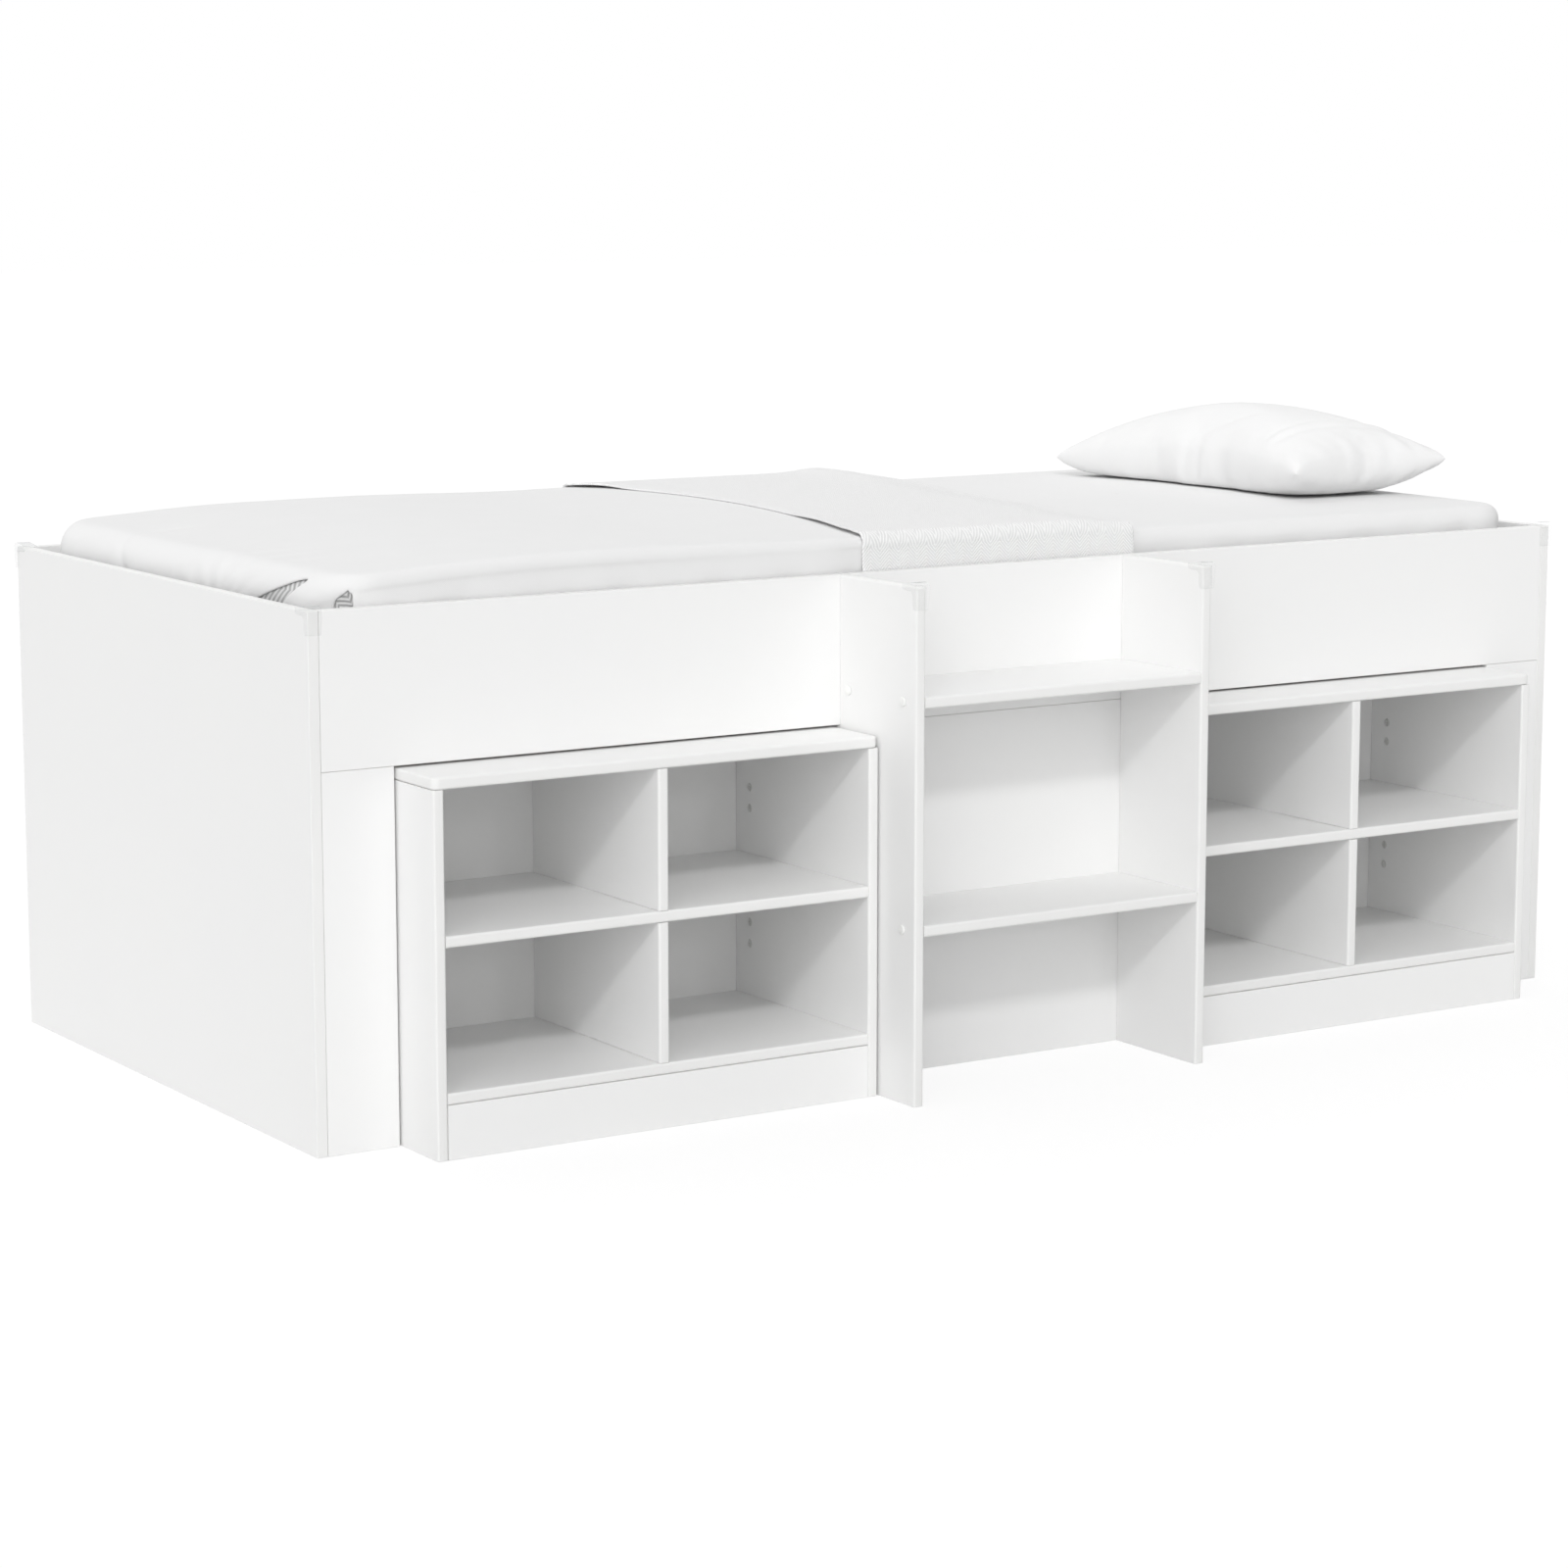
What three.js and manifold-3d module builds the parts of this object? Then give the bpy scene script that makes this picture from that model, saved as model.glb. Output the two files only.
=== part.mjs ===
// A child's low loft bed of white melamine-faced board: two end panels, a guard rail on each
// long side, a short ladder in the middle of the front, and a pull-out bookcase on each side of it.
// It is made up with a mattress, a blanket turned back at the head, and a pillow.
// All sizes are in millimetres. X runs along the bed, Y from the front to the wall, Z up.

import * as THREE from 'three';
import { mergeVertices } from 'three/addons/utils/BufferGeometryUtils.js';
import Module from 'manifold-3d';

const wasm = await Module();
wasm.setup();

// Board and joints
const board = 15; // thickness of every panel
const ease = 0.8; // bevel on the edge banding
const seam = 0.2; // gap left in a butt joint
const slip = 0.3; // clearance round a piece that is cut by its neighbour
const weld = 0.0005; // points of a skin that lie nearer than this are one

// Bed body
const bedLength = 2030;
const bedWidth = 930;
const bedHeight = 684;
const railHeight = 200;
const frontBoardWidth = 100;

// Slatted base
const slatCount = 10;
const slatWidth = 70;
const slatThickness = 12;
const slatDrop = 146; // from the rail's top down to the slats' top
const slatEndRoom = 60; // from an end panel to the first slat
const ledgeWidth = 25;
const ledgeHeight = 30;
const lowerRailHeight = 100;
const lowerRailFoot = 60; // height of the rear lower rail above the floor

// Ladder
const ladderInside = 450;
const ladderDepth = 178;
const stepDrop = 144; // from the rail's top down to the upper step
const stepRise = 300;
const screwInset = 20.5; // from the rear edge of a step to its rear screw
const screwReach = 128; // between the two screws of one step end
const screwRadius = 3;
const screwLength = 50;
const capRadius = 6.5;
const capThickness = 2;
const screwSides = 12;

// Corner guards of clear plastic
const guardArm = 30; // length of each arm, from the board's corner
const guardProud = 5.5; // how far the bow stands off the corner
const guardTip = 2.4; // thickness left at the end of an arm
const guardBand = 6; // how far the cheeks reach over the board's faces
const guardCheek = 2;
const guardBend = 8; // inside radius of the cheeks
const guardCorner = 8; // outside radius of the bow

// Bookcases
const nicheGap = 3; // beside a bookcase
const lidGap = 3; // over a bookcase
const bookcaseDepth = 344;
const bookcaseReach = 97; // how far its front stands out of the bed
const plinthHeight = 70;
const lidCorner = 10; // round on the front corners of its top

// Mattress
const mattressThickness = 180;
const mattressHeadRoom = 20; // from the mattress to the head panel
const mattressFootRoom = 24;
const mattressSideRoom = 12;
const mattressEdge = 22; // round on its top and bottom edges
const mattressCorner = 70; // round on its upright corners at the foot, under the blankets
const mattressHeadCorner = 42; // and at the head
const mattressCrown = 3;

// Blanket, from the mattress outwards: plain side up, and its herringbone side where it is turned
// back over itself
const layerGap = 0.6; // between two layers of bedding
const plainLoft = 10; // thickness of the plain layer on top of the mattress
const turnedLoft = 4.5; // thickness of the turned-back layer over it
const plainSide = 3.6; // thickness of the plain layer where it hangs
const turnedSide = 3.4;
const blanketBend = 6; // inside radius where the blanket turns down
const blanketCorner = 40; // round on its upright corners at the foot
const blanketDrop = 110; // how far the blanket hangs below the mattress's top
const headFold = { front: 1271, rear: 1390 }; // where it is turned back, at the front and the wall
const turnedEdge = { front: 826, rear: 850 }; // where the turned-back layer ends
const footEnd = null; // in place of an edge: the layer turns down over the mattress's foot
const foldHeight = 1.6; // how far the hanging folds stand out
const foldPitch = 155; // from one hanging fold to the next

// Pillow
const pillowWidth = 300; // along the bed, from corner to corner
const pillowLength = 608; // across the bed
const pillowThickness = 124;
const pillowHeadRoom = 3; // from the pillow's corners to the head panel's inner face
const pillowFrontRoom = 186; // from the guard rail's inner face to its front corners
const pillowSeam = 34; // height of its corners over the mattress
const pillowTilt = 12; // how much higher the corners at the head lie
const pillowDrawn = 22; // how far its sides draw in between the corners
const pillowSplit = 1.5; // thickness at its seam

// Colours, with the roughness of each finish
const finish = (color, roughness, extra = {}) =>
  new THREE.MeshStandardMaterial({ color, roughness, metalness: 0, ...extra });
const melamine = finish(0xf4f4f3, 0.45);
const bareWood = finish(0xd9bd92, 0.7);
const clearPlastic = finish(0xe2e4e4, 0.25, { transparent: true, opacity: 0.6 });
const capPlastic = finish(0xf0f0ee, 0.4);
const sheetCotton = finish(0xececec, 0.9);
const herringboneCotton = finish(0xe6e6e5, 0.95);
const plainCotton = finish(0xebebea, 0.92);
const pillowCotton = finish(0xf2f2f2, 0.9);

// Places worked out from the sizes above
const railBottom = bedHeight - railHeight;
const innerFront = board; // inner face of the front rail
const innerRear = bedWidth - board;
const innerLeft = board; // inner face of the left end panel
const innerRight = bedLength - board;
const ladderLeft = bedLength / 2 - ladderInside / 2 - board; // outer face of the ladder's left side
const ladderRight = bedLength / 2 + ladderInside / 2 + board;
const slatTop = bedHeight - slatDrop;
const ledgeTop = slatTop - slatThickness - seam;
const mattressBottom = slatTop + slip;
const mattressTop = mattressBottom + mattressThickness;
const bookcaseHeight = railBottom - lidGap;
const middleY = (bedWidth - ladderDepth) / 2; // halfway between the foremost and rearmost guards

const bed = new THREE.Group();
bed.position.set(-bedLength / 2, -middleY, 0);

// Solids and booleans

function toSolid(geometry) {
  const bare = geometry.index ? geometry.toNonIndexed() : geometry.clone();
  bare.deleteAttribute('normal');
  bare.deleteAttribute('uv');
  const merged = mergeVertices(bare, weld);
  return new wasm.Manifold(new wasm.Mesh({
    numProp: 3,
    vertProperties: Float32Array.from(merged.attributes.position.array),
    triVerts: Uint32Array.from(merged.index.array),
  }));
}

function toGeometry(solid) {
  const mesh = solid.getMesh();
  const geometry = new THREE.BufferGeometry();
  geometry.setAttribute('position', new THREE.BufferAttribute(mesh.vertProperties, 3));
  geometry.setIndex(new THREE.BufferAttribute(mesh.triVerts, 1));
  geometry.computeVertexNormals();
  return geometry;
}

function cut(geometry, tools) {
  let solid = toSolid(geometry);
  for (const tool of tools) solid = solid.subtract(toSolid(tool));
  return toGeometry(solid);
}

function place(group, name, geometry, material, position = [0, 0, 0]) {
  const mesh = new THREE.Mesh(geometry, material);
  mesh.name = name;
  mesh.position.set(...position);
  group.add(mesh);
  return mesh;
}

// Boards: an outline drawn across one axis and given its thickness along it, from `start`.
// Across X the outline lies in (Y, Z), across Y in (X, Z) and across Z in (X, Y).

const turned = {
  x: new THREE.Matrix4().makeBasis(
    new THREE.Vector3(0, 1, 0), new THREE.Vector3(0, 0, 1), new THREE.Vector3(1, 0, 0)),
  y: new THREE.Matrix4().makeBasis(
    new THREE.Vector3(1, 0, 0), new THREE.Vector3(0, 0, 1), new THREE.Vector3(0, -1, 0)),
  z: new THREE.Matrix4(),
};

function slab(axis, outline, start, thickness, bevel = ease) {
  const geometry = new THREE.ExtrudeGeometry(outline, {
    depth: thickness - 2 * bevel,
    bevelEnabled: bevel > 0,
    bevelThickness: bevel,
    bevelSize: bevel,
    bevelOffset: -bevel,
    bevelSegments: 1,
    curveSegments: 5,
  });
  geometry.translate(0, 0, bevel);
  geometry.applyMatrix4(turned[axis]);
  const along = { x: [start, 0, 0], y: [0, start + thickness, 0], z: [0, 0, start] }[axis];
  return geometry.translate(...along);
}

function polygon(points) {
  return new THREE.Shape(points.map(([u, v]) => new THREE.Vector2(u, v)));
}

// A rectangle whose four corners are bevelled like the edges.
function rectangle([u0, v0], [u1, v1], bevel = ease) {
  return polygon([
    [u0 + bevel, v0], [u1 - bevel, v0], [u1, v0 + bevel], [u1, v1 - bevel],
    [u1 - bevel, v1], [u0 + bevel, v1], [u0, v1 - bevel], [u0, v0 + bevel],
  ]);
}

// A plain rectangular board between two corners, thin along `axis`.
function panel(axis, low, high) {
  const [a, b, c] = { x: [1, 2, 0], y: [0, 2, 1], z: [0, 1, 2] }[axis];
  return slab(axis, rectangle([low[a], low[b]], [high[a], high[b]]), low[c], high[c] - low[c]);
}

// Bed body

function addEndPanels() {
  const outline = rectangle([0, 0], [bedWidth, bedHeight]);
  place(bed, 'left_end_panel', slab('x', outline, 0, board), melamine);
  place(bed, 'right_end_panel', slab('x', outline, innerRight, board), melamine);
}

function addRails() {
  const left = innerLeft + seam;
  const right = innerRight - seam;
  const rails = [['front_guard_rail', 0], ['rear_guard_rail', innerRear]];
  for (const [name, y] of rails) {
    place(bed, name, panel('y', [left, y, railBottom], [right, y + board, bedHeight]), melamine);
  }
  place(bed, 'rear_lower_rail', panel('y', [left, innerRear, lowerRailFoot],
    [right, bedWidth, lowerRailFoot + lowerRailHeight]), melamine);
}

function addFrontBoards() {
  const top = railBottom - seam;
  const spans = [
    ['left_front_board', innerLeft + seam, innerLeft + frontBoardWidth],
    ['centre_front_board', ladderLeft, ladderRight],
    ['right_front_board', innerRight - frontBoardWidth, innerRight - seam],
  ];
  for (const [name, left, right] of spans) {
    place(bed, name, panel('y', [left, 0, 0], [right, board, top]), melamine);
  }
}

// A partition stands on edge beside each niche, notched over the slat ledges.
function addPartitions() {
  const front = innerFront + seam;
  const rear = innerRear - seam;
  const top = ledgeTop;
  const notch = ledgeWidth + seam;
  const notchFoot = ledgeTop - ledgeHeight - seam;
  const outline = polygon([
    [front, 0], [rear, 0], [rear, notchFoot], [rear - notch, notchFoot],
    [rear - notch, top], [front + notch, top], [front + notch, notchFoot], [front, notchFoot],
  ]);
  place(bed, 'left_partition', slab('x', outline, ladderLeft, board), melamine);
  place(bed, 'right_partition', slab('x', outline, ladderRight - board, board), melamine);
}

function addSlats() {
  const left = innerLeft + seam;
  const right = innerRight - seam;
  const front = innerFront + seam;
  const rear = innerRear - seam;
  for (const [name, y] of [['front_slat_ledge', front], ['rear_slat_ledge', rear - ledgeWidth]]) {
    const low = [left, y, ledgeTop - ledgeHeight];
    place(bed, name, panel('z', low, [right, y + ledgeWidth, ledgeTop]), bareWood);
  }
  const first = innerLeft + slatEndRoom;
  const last = innerRight - slatEndRoom - slatWidth;
  for (let i = 0; i < slatCount; i += 1) {
    const x = first + (last - first) * i / (slatCount - 1);
    const low = [x, front + seam, slatTop - slatThickness];
    const high = [x + slatWidth, rear - seam, slatTop];
    place(bed, `slat_${i + 1}`, panel('z', low, high), bareWood);
  }
}

// Ladder

const upperStepTop = bedHeight - stepDrop;
const stepPlaces = [['lower', upperStepTop - stepRise], ['upper', upperStepTop]];
const screwRows = [-screwInset, -screwInset - screwReach];

// A rod along X with as many sides as the screws have, from `start` towards +X.
function rod(radius, length, start, y, z) {
  const geometry = new THREE.CylinderGeometry(radius, radius, length, screwSides);
  geometry.rotateZ(-Math.PI / 2);
  return geometry.translate(start + length / 2, y, z);
}

function addLadder() {
  const overrun = capThickness; // the drills run this far past each face
  const sides = [['left', ladderLeft], ['right', ladderRight - board]];
  for (const [side, x] of sides) {
    const drills = stepPlaces.flatMap(([, top]) => screwRows.map((y) =>
      rod(screwRadius + slip, board + 2 * overrun, x - overrun, y, top - board / 2)));
    const blank = panel('x', [x, -ladderDepth, 0], [x + board, -seam, bedHeight]);
    place(bed, `ladder_${side}_side`, cut(blank, drills), melamine);
  }
  const left = ladderLeft + board + seam;
  const right = ladderRight - board - seam;
  const depth = screwLength - board + slip;
  for (const [step, top] of stepPlaces) {
    const drills = screwRows.flatMap((y) => [
      rod(screwRadius + slip, depth + overrun, left - overrun, y, top - board / 2),
      rod(screwRadius + slip, depth + overrun, right - depth, y, top - board / 2),
    ]);
    const blank = panel('z', [left, -ladderDepth, top - board], [right, -seam, top]);
    place(bed, `ladder_${step}_step`, cut(blank, drills), melamine);
  }
}

// A step screw with its round cap, drawn along +X from the cap's outer face.
function screwGeometry() {
  const round = capThickness / 2;
  const profile = [
    [0, 0], [capRadius - round, 0], [capRadius, round], [capRadius, capThickness],
    [screwRadius, capThickness], [screwRadius, capThickness + screwLength - screwRadius],
    [0, capThickness + screwLength],
  ].map(([r, along]) => new THREE.Vector2(r, along));
  const geometry = new THREE.LatheGeometry(profile, screwSides);
  return geometry.rotateZ(-Math.PI / 2);
}

function addStepScrews() {
  for (const [step, top] of stepPlaces) {
    for (const [row, y] of [['rear', screwRows[0]], ['front', screwRows[1]]]) {
      const height = top - board / 2;
      const leftCap = [ladderLeft - seam - capThickness, y, height];
      const rightCap = [ladderRight + seam + capThickness, y, height];
      place(bed, `left_${step}_${row}_screw`, screwGeometry(), capPlastic, leftCap);
      const mate = place(bed, `right_${step}_${row}_screw`, screwGeometry(), capPlastic, rightCap);
      mate.rotation.z = Math.PI;
    }
  }
}

// Corner guards: a bowed strip of U section, clipped over the corner of a board.
// The outline has the board's corner at zero, u outwards along the edge's depth and v upwards.

function guardOutline() {
  const shape = new THREE.Shape();
  const inside = -guardBand;
  shape.moveTo(-guardArm, inside + guardTip);
  shape.lineTo(-guardArm, guardTip - slip);
  shape.quadraticCurveTo(-guardCorner, guardProud, guardProud - guardCorner, guardProud);
  shape.quadraticCurveTo(guardProud, guardProud, guardProud, guardProud - guardCorner);
  shape.quadraticCurveTo(guardProud, -guardCorner, guardTip - slip, -guardArm);
  shape.lineTo(inside + guardTip, -guardArm);
  shape.lineTo(inside, guardTip - guardArm);
  shape.lineTo(inside, inside - guardBend);
  shape.quadraticCurveTo(inside, inside, inside - guardBend, inside);
  shape.lineTo(guardTip - guardArm, inside);
  return shape;
}

// The guards of an end panel make room for the rail that meets it: a block `slip` larger.
function railRoom(y) {
  const long = innerRight - innerLeft - 2 * seam + 2 * slip;
  const block = new THREE.BoxGeometry(long, board + 2 * slip, railHeight + 2 * slip);
  return block.translate(bedLength / 2, y + board / 2, railBottom + railHeight / 2);
}

// `x` is the board's left face, `y` its edge and `outward` the way that edge faces.
function guard(x, y, outward, neighbours) {
  const wide = board + 2 * (guardCheek + slip);
  const blank = slab('x', guardOutline(), -guardCheek - slip, wide, guardCheek / 4);
  const hollow = new THREE.BoxGeometry(board + 2 * slip, 2 * guardArm, 2 * guardArm);
  hollow.translate(board / 2, slip - guardArm, slip - guardArm);
  const shaped = cut(blank, [hollow]);
  if (outward < 0) {
    shaped.rotateZ(Math.PI);
    shaped.translate(board, 0, 0);
  }
  return cut(shaped.translate(x, y, bedHeight), neighbours);
}

function addGuards() {
  const frontRail = [railRoom(0)];
  const rearRail = [railRoom(innerRear)];
  const places = [
    ['left_front_guard', 0, 0, -1, frontRail],
    ['left_rear_guard', 0, bedWidth, 1, rearRail],
    ['right_front_guard', innerRight, 0, -1, frontRail],
    ['right_rear_guard', innerRight, bedWidth, 1, rearRail],
    ['ladder_left_guard', ladderLeft, -ladderDepth, -1, []],
    ['ladder_right_guard', ladderRight - board, -ladderDepth, -1, []],
  ];
  for (const [name, x, y, outward, neighbours] of places) {
    place(bed, name, guard(x, y, outward, neighbours), clearPlastic);
  }
}

// Bookcases: drawn once from the niche's left wall, and placed in both niches

const nicheWidth = ladderLeft - innerLeft - frontBoardWidth;
const bookcaseWidth = nicheWidth - 2 * nicheGap;

// The top, with its two front corners rounded.
function lidOutline(front, rear) {
  const shape = new THREE.Shape();
  shape.moveTo(0, rear);
  shape.lineTo(0, front + lidCorner);
  shape.quadraticCurveTo(0, front, lidCorner, front);
  shape.lineTo(bookcaseWidth - lidCorner, front);
  shape.quadraticCurveTo(bookcaseWidth, front, bookcaseWidth, front + lidCorner);
  shape.lineTo(bookcaseWidth, rear);
  return shape;
}

function addBookcase(side, left) {
  const bookcase = new THREE.Group();
  bookcase.position.set(left, 0, 0);
  bed.add(bookcase);
  const put = (name, geometry) => place(bookcase, `${side}_bookcase_${name}`, geometry, melamine);

  const front = -bookcaseReach;
  const rear = front + bookcaseDepth;
  const lidFoot = bookcaseHeight - board;
  const wallTop = lidFoot - seam;
  const inLeft = board + seam;
  const inRight = bookcaseWidth - board - seam;
  const backFace = rear - board;
  const shelfRear = backFace - seam;
  const floorFoot = plinthHeight + seam;
  const floorTop = floorFoot + board;
  const shelfFoot = (floorTop + lidFoot - board) / 2;
  const dividerLeft = (bookcaseWidth - board) / 2;
  const halfway = (front + shelfRear) / 2;

  put('top', slab('z', lidOutline(front, rear), lidFoot, board));
  put('left_side', panel('x', [0, front, 0], [board, rear, wallTop]));
  put('right_side', panel('x', [bookcaseWidth - board, front, 0], [bookcaseWidth, rear, wallTop]));
  put('back', panel('y', [inLeft, backFace, 0], [inRight, rear, wallTop]));
  put('plinth', panel('y', [inLeft, front, 0], [inRight, front + board, plinthHeight]));
  put('floor', panel('z', [inLeft, front, floorFoot], [inRight, shelfRear, floorTop]));

  // The shelf and the divider are slotted half into each other.
  put('shelf', slab('z', polygon([
    [inLeft, front], [inRight, front], [inRight, shelfRear],
    [dividerLeft + board + slip, shelfRear], [dividerLeft + board + slip, halfway],
    [dividerLeft - slip, halfway], [dividerLeft - slip, shelfRear], [inLeft, shelfRear],
  ]), shelfFoot, board));
  const standing = floorTop + seam;
  put('divider', slab('x', polygon([
    [front, standing], [shelfRear, standing], [shelfRear, wallTop], [front, wallTop],
    [front, shelfFoot + board + slip], [halfway + slip, shelfFoot + board + slip],
    [halfway + slip, shelfFoot - slip], [front, shelfFoot - slip],
  ]), dividerLeft, board));
}

// Bedding: closed skins of points in rows

// Joins rows of equally many points. A closed row runs round; first and last rows get a lid each.
function skinOfRings(rings, low, high) {
  const count = rings[0].length;
  const points = [low, ...rings.flat(), high];
  const index = [];
  const at = (ring, i) => 1 + ring * count + (i % count);
  for (let i = 0; i < count; i += 1) {
    index.push(0, at(0, i + 1), at(0, i));
    index.push(points.length - 1, at(rings.length - 1, i), at(rings.length - 1, i + 1));
    for (let ring = 0; ring + 1 < rings.length; ring += 1) {
      index.push(at(ring, i), at(ring, i + 1), at(ring + 1, i + 1));
      index.push(at(ring, i), at(ring + 1, i + 1), at(ring + 1, i));
    }
  }
  return skin(points, index);
}

// Closes an upper and a lower sheet of points with a border round the outside.
function skinOfSheets(upper, lower) {
  const rows = upper.length;
  const columns = upper[0].length;
  const points = [...upper.flat(), ...lower.flat()];
  const top = (r, c) => r * columns + c;
  const under = (r, c) => rows * columns + r * columns + c;
  const index = [];
  const quad = (a, b, c, d) => index.push(a, b, c, a, c, d);
  for (let r = 0; r + 1 < rows; r += 1) {
    for (let c = 0; c + 1 < columns; c += 1) {
      quad(top(r, c), top(r + 1, c), top(r + 1, c + 1), top(r, c + 1));
      quad(under(r, c), under(r, c + 1), under(r + 1, c + 1), under(r + 1, c));
    }
    quad(top(r + 1, 0), top(r, 0), under(r, 0), under(r + 1, 0));
    quad(top(r, columns - 1), top(r + 1, columns - 1), under(r + 1, columns - 1), under(r, columns - 1));
  }
  for (let c = 0; c + 1 < columns; c += 1) {
    quad(top(0, c), top(0, c + 1), under(0, c + 1), under(0, c));
    quad(top(rows - 1, c + 1), top(rows - 1, c), under(rows - 1, c), under(rows - 1, c + 1));
  }
  return skin(points, index);
}

function skin(points, index) {
  const geometry = new THREE.BufferGeometry();
  geometry.setAttribute('position', new THREE.Float32BufferAttribute(points.flat(), 3));
  geometry.setIndex(index);
  geometry.computeVertexNormals();
  return geometry;
}

const mattressBox = {
  left: innerLeft + mattressFootRoom,
  right: innerRight - mattressHeadRoom,
  front: innerFront + mattressSideRoom,
  rear: innerRear - mattressSideRoom,
};

// A rounded rectangle drawn in by `inset`, at height z.
function mattressRing(inset, z, arcSteps = 4, sideSteps = 6) {
  const { left, right, front, rear } = mattressBox;
  const head = Math.max(mattressHeadCorner - inset, mattressEdge);
  const foot = Math.max(mattressCorner - inset, mattressEdge);
  const corners = [
    [right - inset - head, front + inset + head, -Math.PI / 2, head],
    [right - inset - head, rear - inset - head, 0, head],
    [left + inset + foot, rear - inset - foot, Math.PI / 2, foot],
    [left + inset + foot, front + inset + foot, Math.PI, foot],
  ];
  const ring = [];
  corners.forEach(([x, y, from, radius], k) => {
    for (let i = 0; i <= arcSteps; i += 1) {
      const angle = from + (Math.PI / 2) * i / arcSteps;
      ring.push([x + radius * Math.cos(angle), y + radius * Math.sin(angle), z]);
    }
    const [nextX, nextY, nextFrom, nextRadius] = corners[(k + 1) % corners.length];
    const start = ring[ring.length - 1];
    const stop = [nextX + nextRadius * Math.cos(nextFrom), nextY + nextRadius * Math.sin(nextFrom)];
    for (let i = 1; i < sideSteps; i += 1) {
      const t = i / sideSteps;
      ring.push([start[0] + (stop[0] - start[0]) * t, start[1] + (stop[1] - start[1]) * t, z]);
    }
  });
  return ring;
}

function addMattress() {
  const rings = [];
  const steps = 4;
  for (let i = 0; i <= steps; i += 1) {
    const angle = (Math.PI / 2) * i / steps;
    const inset = mattressEdge * (1 - Math.sin(angle));
    rings.push(mattressRing(inset, mattressBottom + mattressEdge * (1 - Math.cos(angle))));
  }
  const shoulder = mattressTop - mattressCrown;
  for (let i = 0; i <= steps; i += 1) {
    const angle = (Math.PI / 2) * i / steps;
    const inset = mattressEdge * (1 - Math.cos(angle));
    rings.push(mattressRing(inset, shoulder - mattressEdge * (1 - Math.sin(angle))));
  }
  const reach = (mattressBox.rear - mattressBox.front) / 2 - mattressEdge;
  const crownShares = [[0.2, 0.35], [0.4, 0.75], [0.6, 0.95], [0.8, 1]]; // way in, and way up
  for (const [insetShare, riseShare] of crownShares) {
    const inset = mattressEdge + reach * insetShare;
    rings.push(mattressRing(inset, shoulder + mattressCrown * riseShare));
  }
  const middle = [(mattressBox.left + mattressBox.right) / 2, (mattressBox.front + mattressBox.rear) / 2];
  const geometry = skinOfRings(rings, [...middle, mattressBottom], [...middle, mattressTop]);
  place(bed, 'mattress', geometry, sheetCotton);
}

// How far the blanket stands out in folds where it hangs, by its place along the edge. The folds
// grow in after `from` and fade out before `to`.
function foldOut(along, below, [from, to]) {
  const wave = (1 - Math.cos((2 * Math.PI * along) / foldPitch)) / 2;
  const start = Math.min(Math.max((along - from) / foldPitch, 0), 1);
  const stop = Math.min(Math.max((to - along) / foldPitch, 0), 1);
  return foldHeight * wave * start * stop * Math.min(below / blanketDrop, 1);
}

const drapeTop = mattressTop + layerGap;
const drapeBox = {
  left: mattressBox.left - layerGap + blanketCorner,
  front: mattressBox.front - layerGap + blanketCorner,
  rear: mattressBox.rear + layerGap - blanketCorner,
};

// Lays one flat point on the innermost surface of the bedding. The cloth turns down round
// `blanketBend` and then hangs straight. Gives the point, which way it faces and how far it hangs.
function drape(flatX, flatY) {
  const dx = Math.min(flatX - drapeBox.left, 0);
  const dy = Math.min(flatY - drapeBox.front, 0) + Math.max(flatY - drapeBox.rear, 0);
  const flat = blanketCorner - blanketBend;
  const beyond = Math.hypot(dx, dy);
  if (beyond <= flat) return { point: [flatX, flatY, drapeTop], facing: [0, 0, 1], below: 0 };
  const way = [dx / beyond, dy / beyond];
  const quarter = blanketBend * Math.PI / 2;
  const bend = Math.min(beyond - flat, quarter) / blanketBend;
  const below = blanketBend * (1 - Math.cos(bend)) + Math.max(beyond - flat - quarter, 0);
  const outward = flat + blanketBend * Math.sin(bend);
  return {
    point: [flatX - dx + outward * way[0], flatY - dy + outward * way[1], drapeTop - below],
    facing: [way[0] * Math.sin(bend), way[1] * Math.sin(bend), Math.cos(bend)],
    below,
  };
}

// Flat places along one direction: close together where the cloth bends, wider apart on top.
function bendPlaces(edge, way) {
  const cornerShares = [0, 0.6];
  const bendShares = [0, 0.5, 1];
  const hangShares = [0.5, 1];
  const flat = blanketCorner - blanketBend;
  const quarter = blanketBend * Math.PI / 2;
  const hang = blanketDrop - blanketBend;
  return [
    ...cornerShares.map((share) => edge + way * flat * share),
    ...bendShares.map((share) => edge + way * (flat + quarter * share)),
    ...hangShares.map((share) => edge + way * (flat + quarter + hang * share)),
  ];
}

function topPlaces(from, to, steps) {
  return Array.from({ length: steps - 1 }, (_, i) => from + (to - from) * (i + 1) / steps);
}

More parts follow.
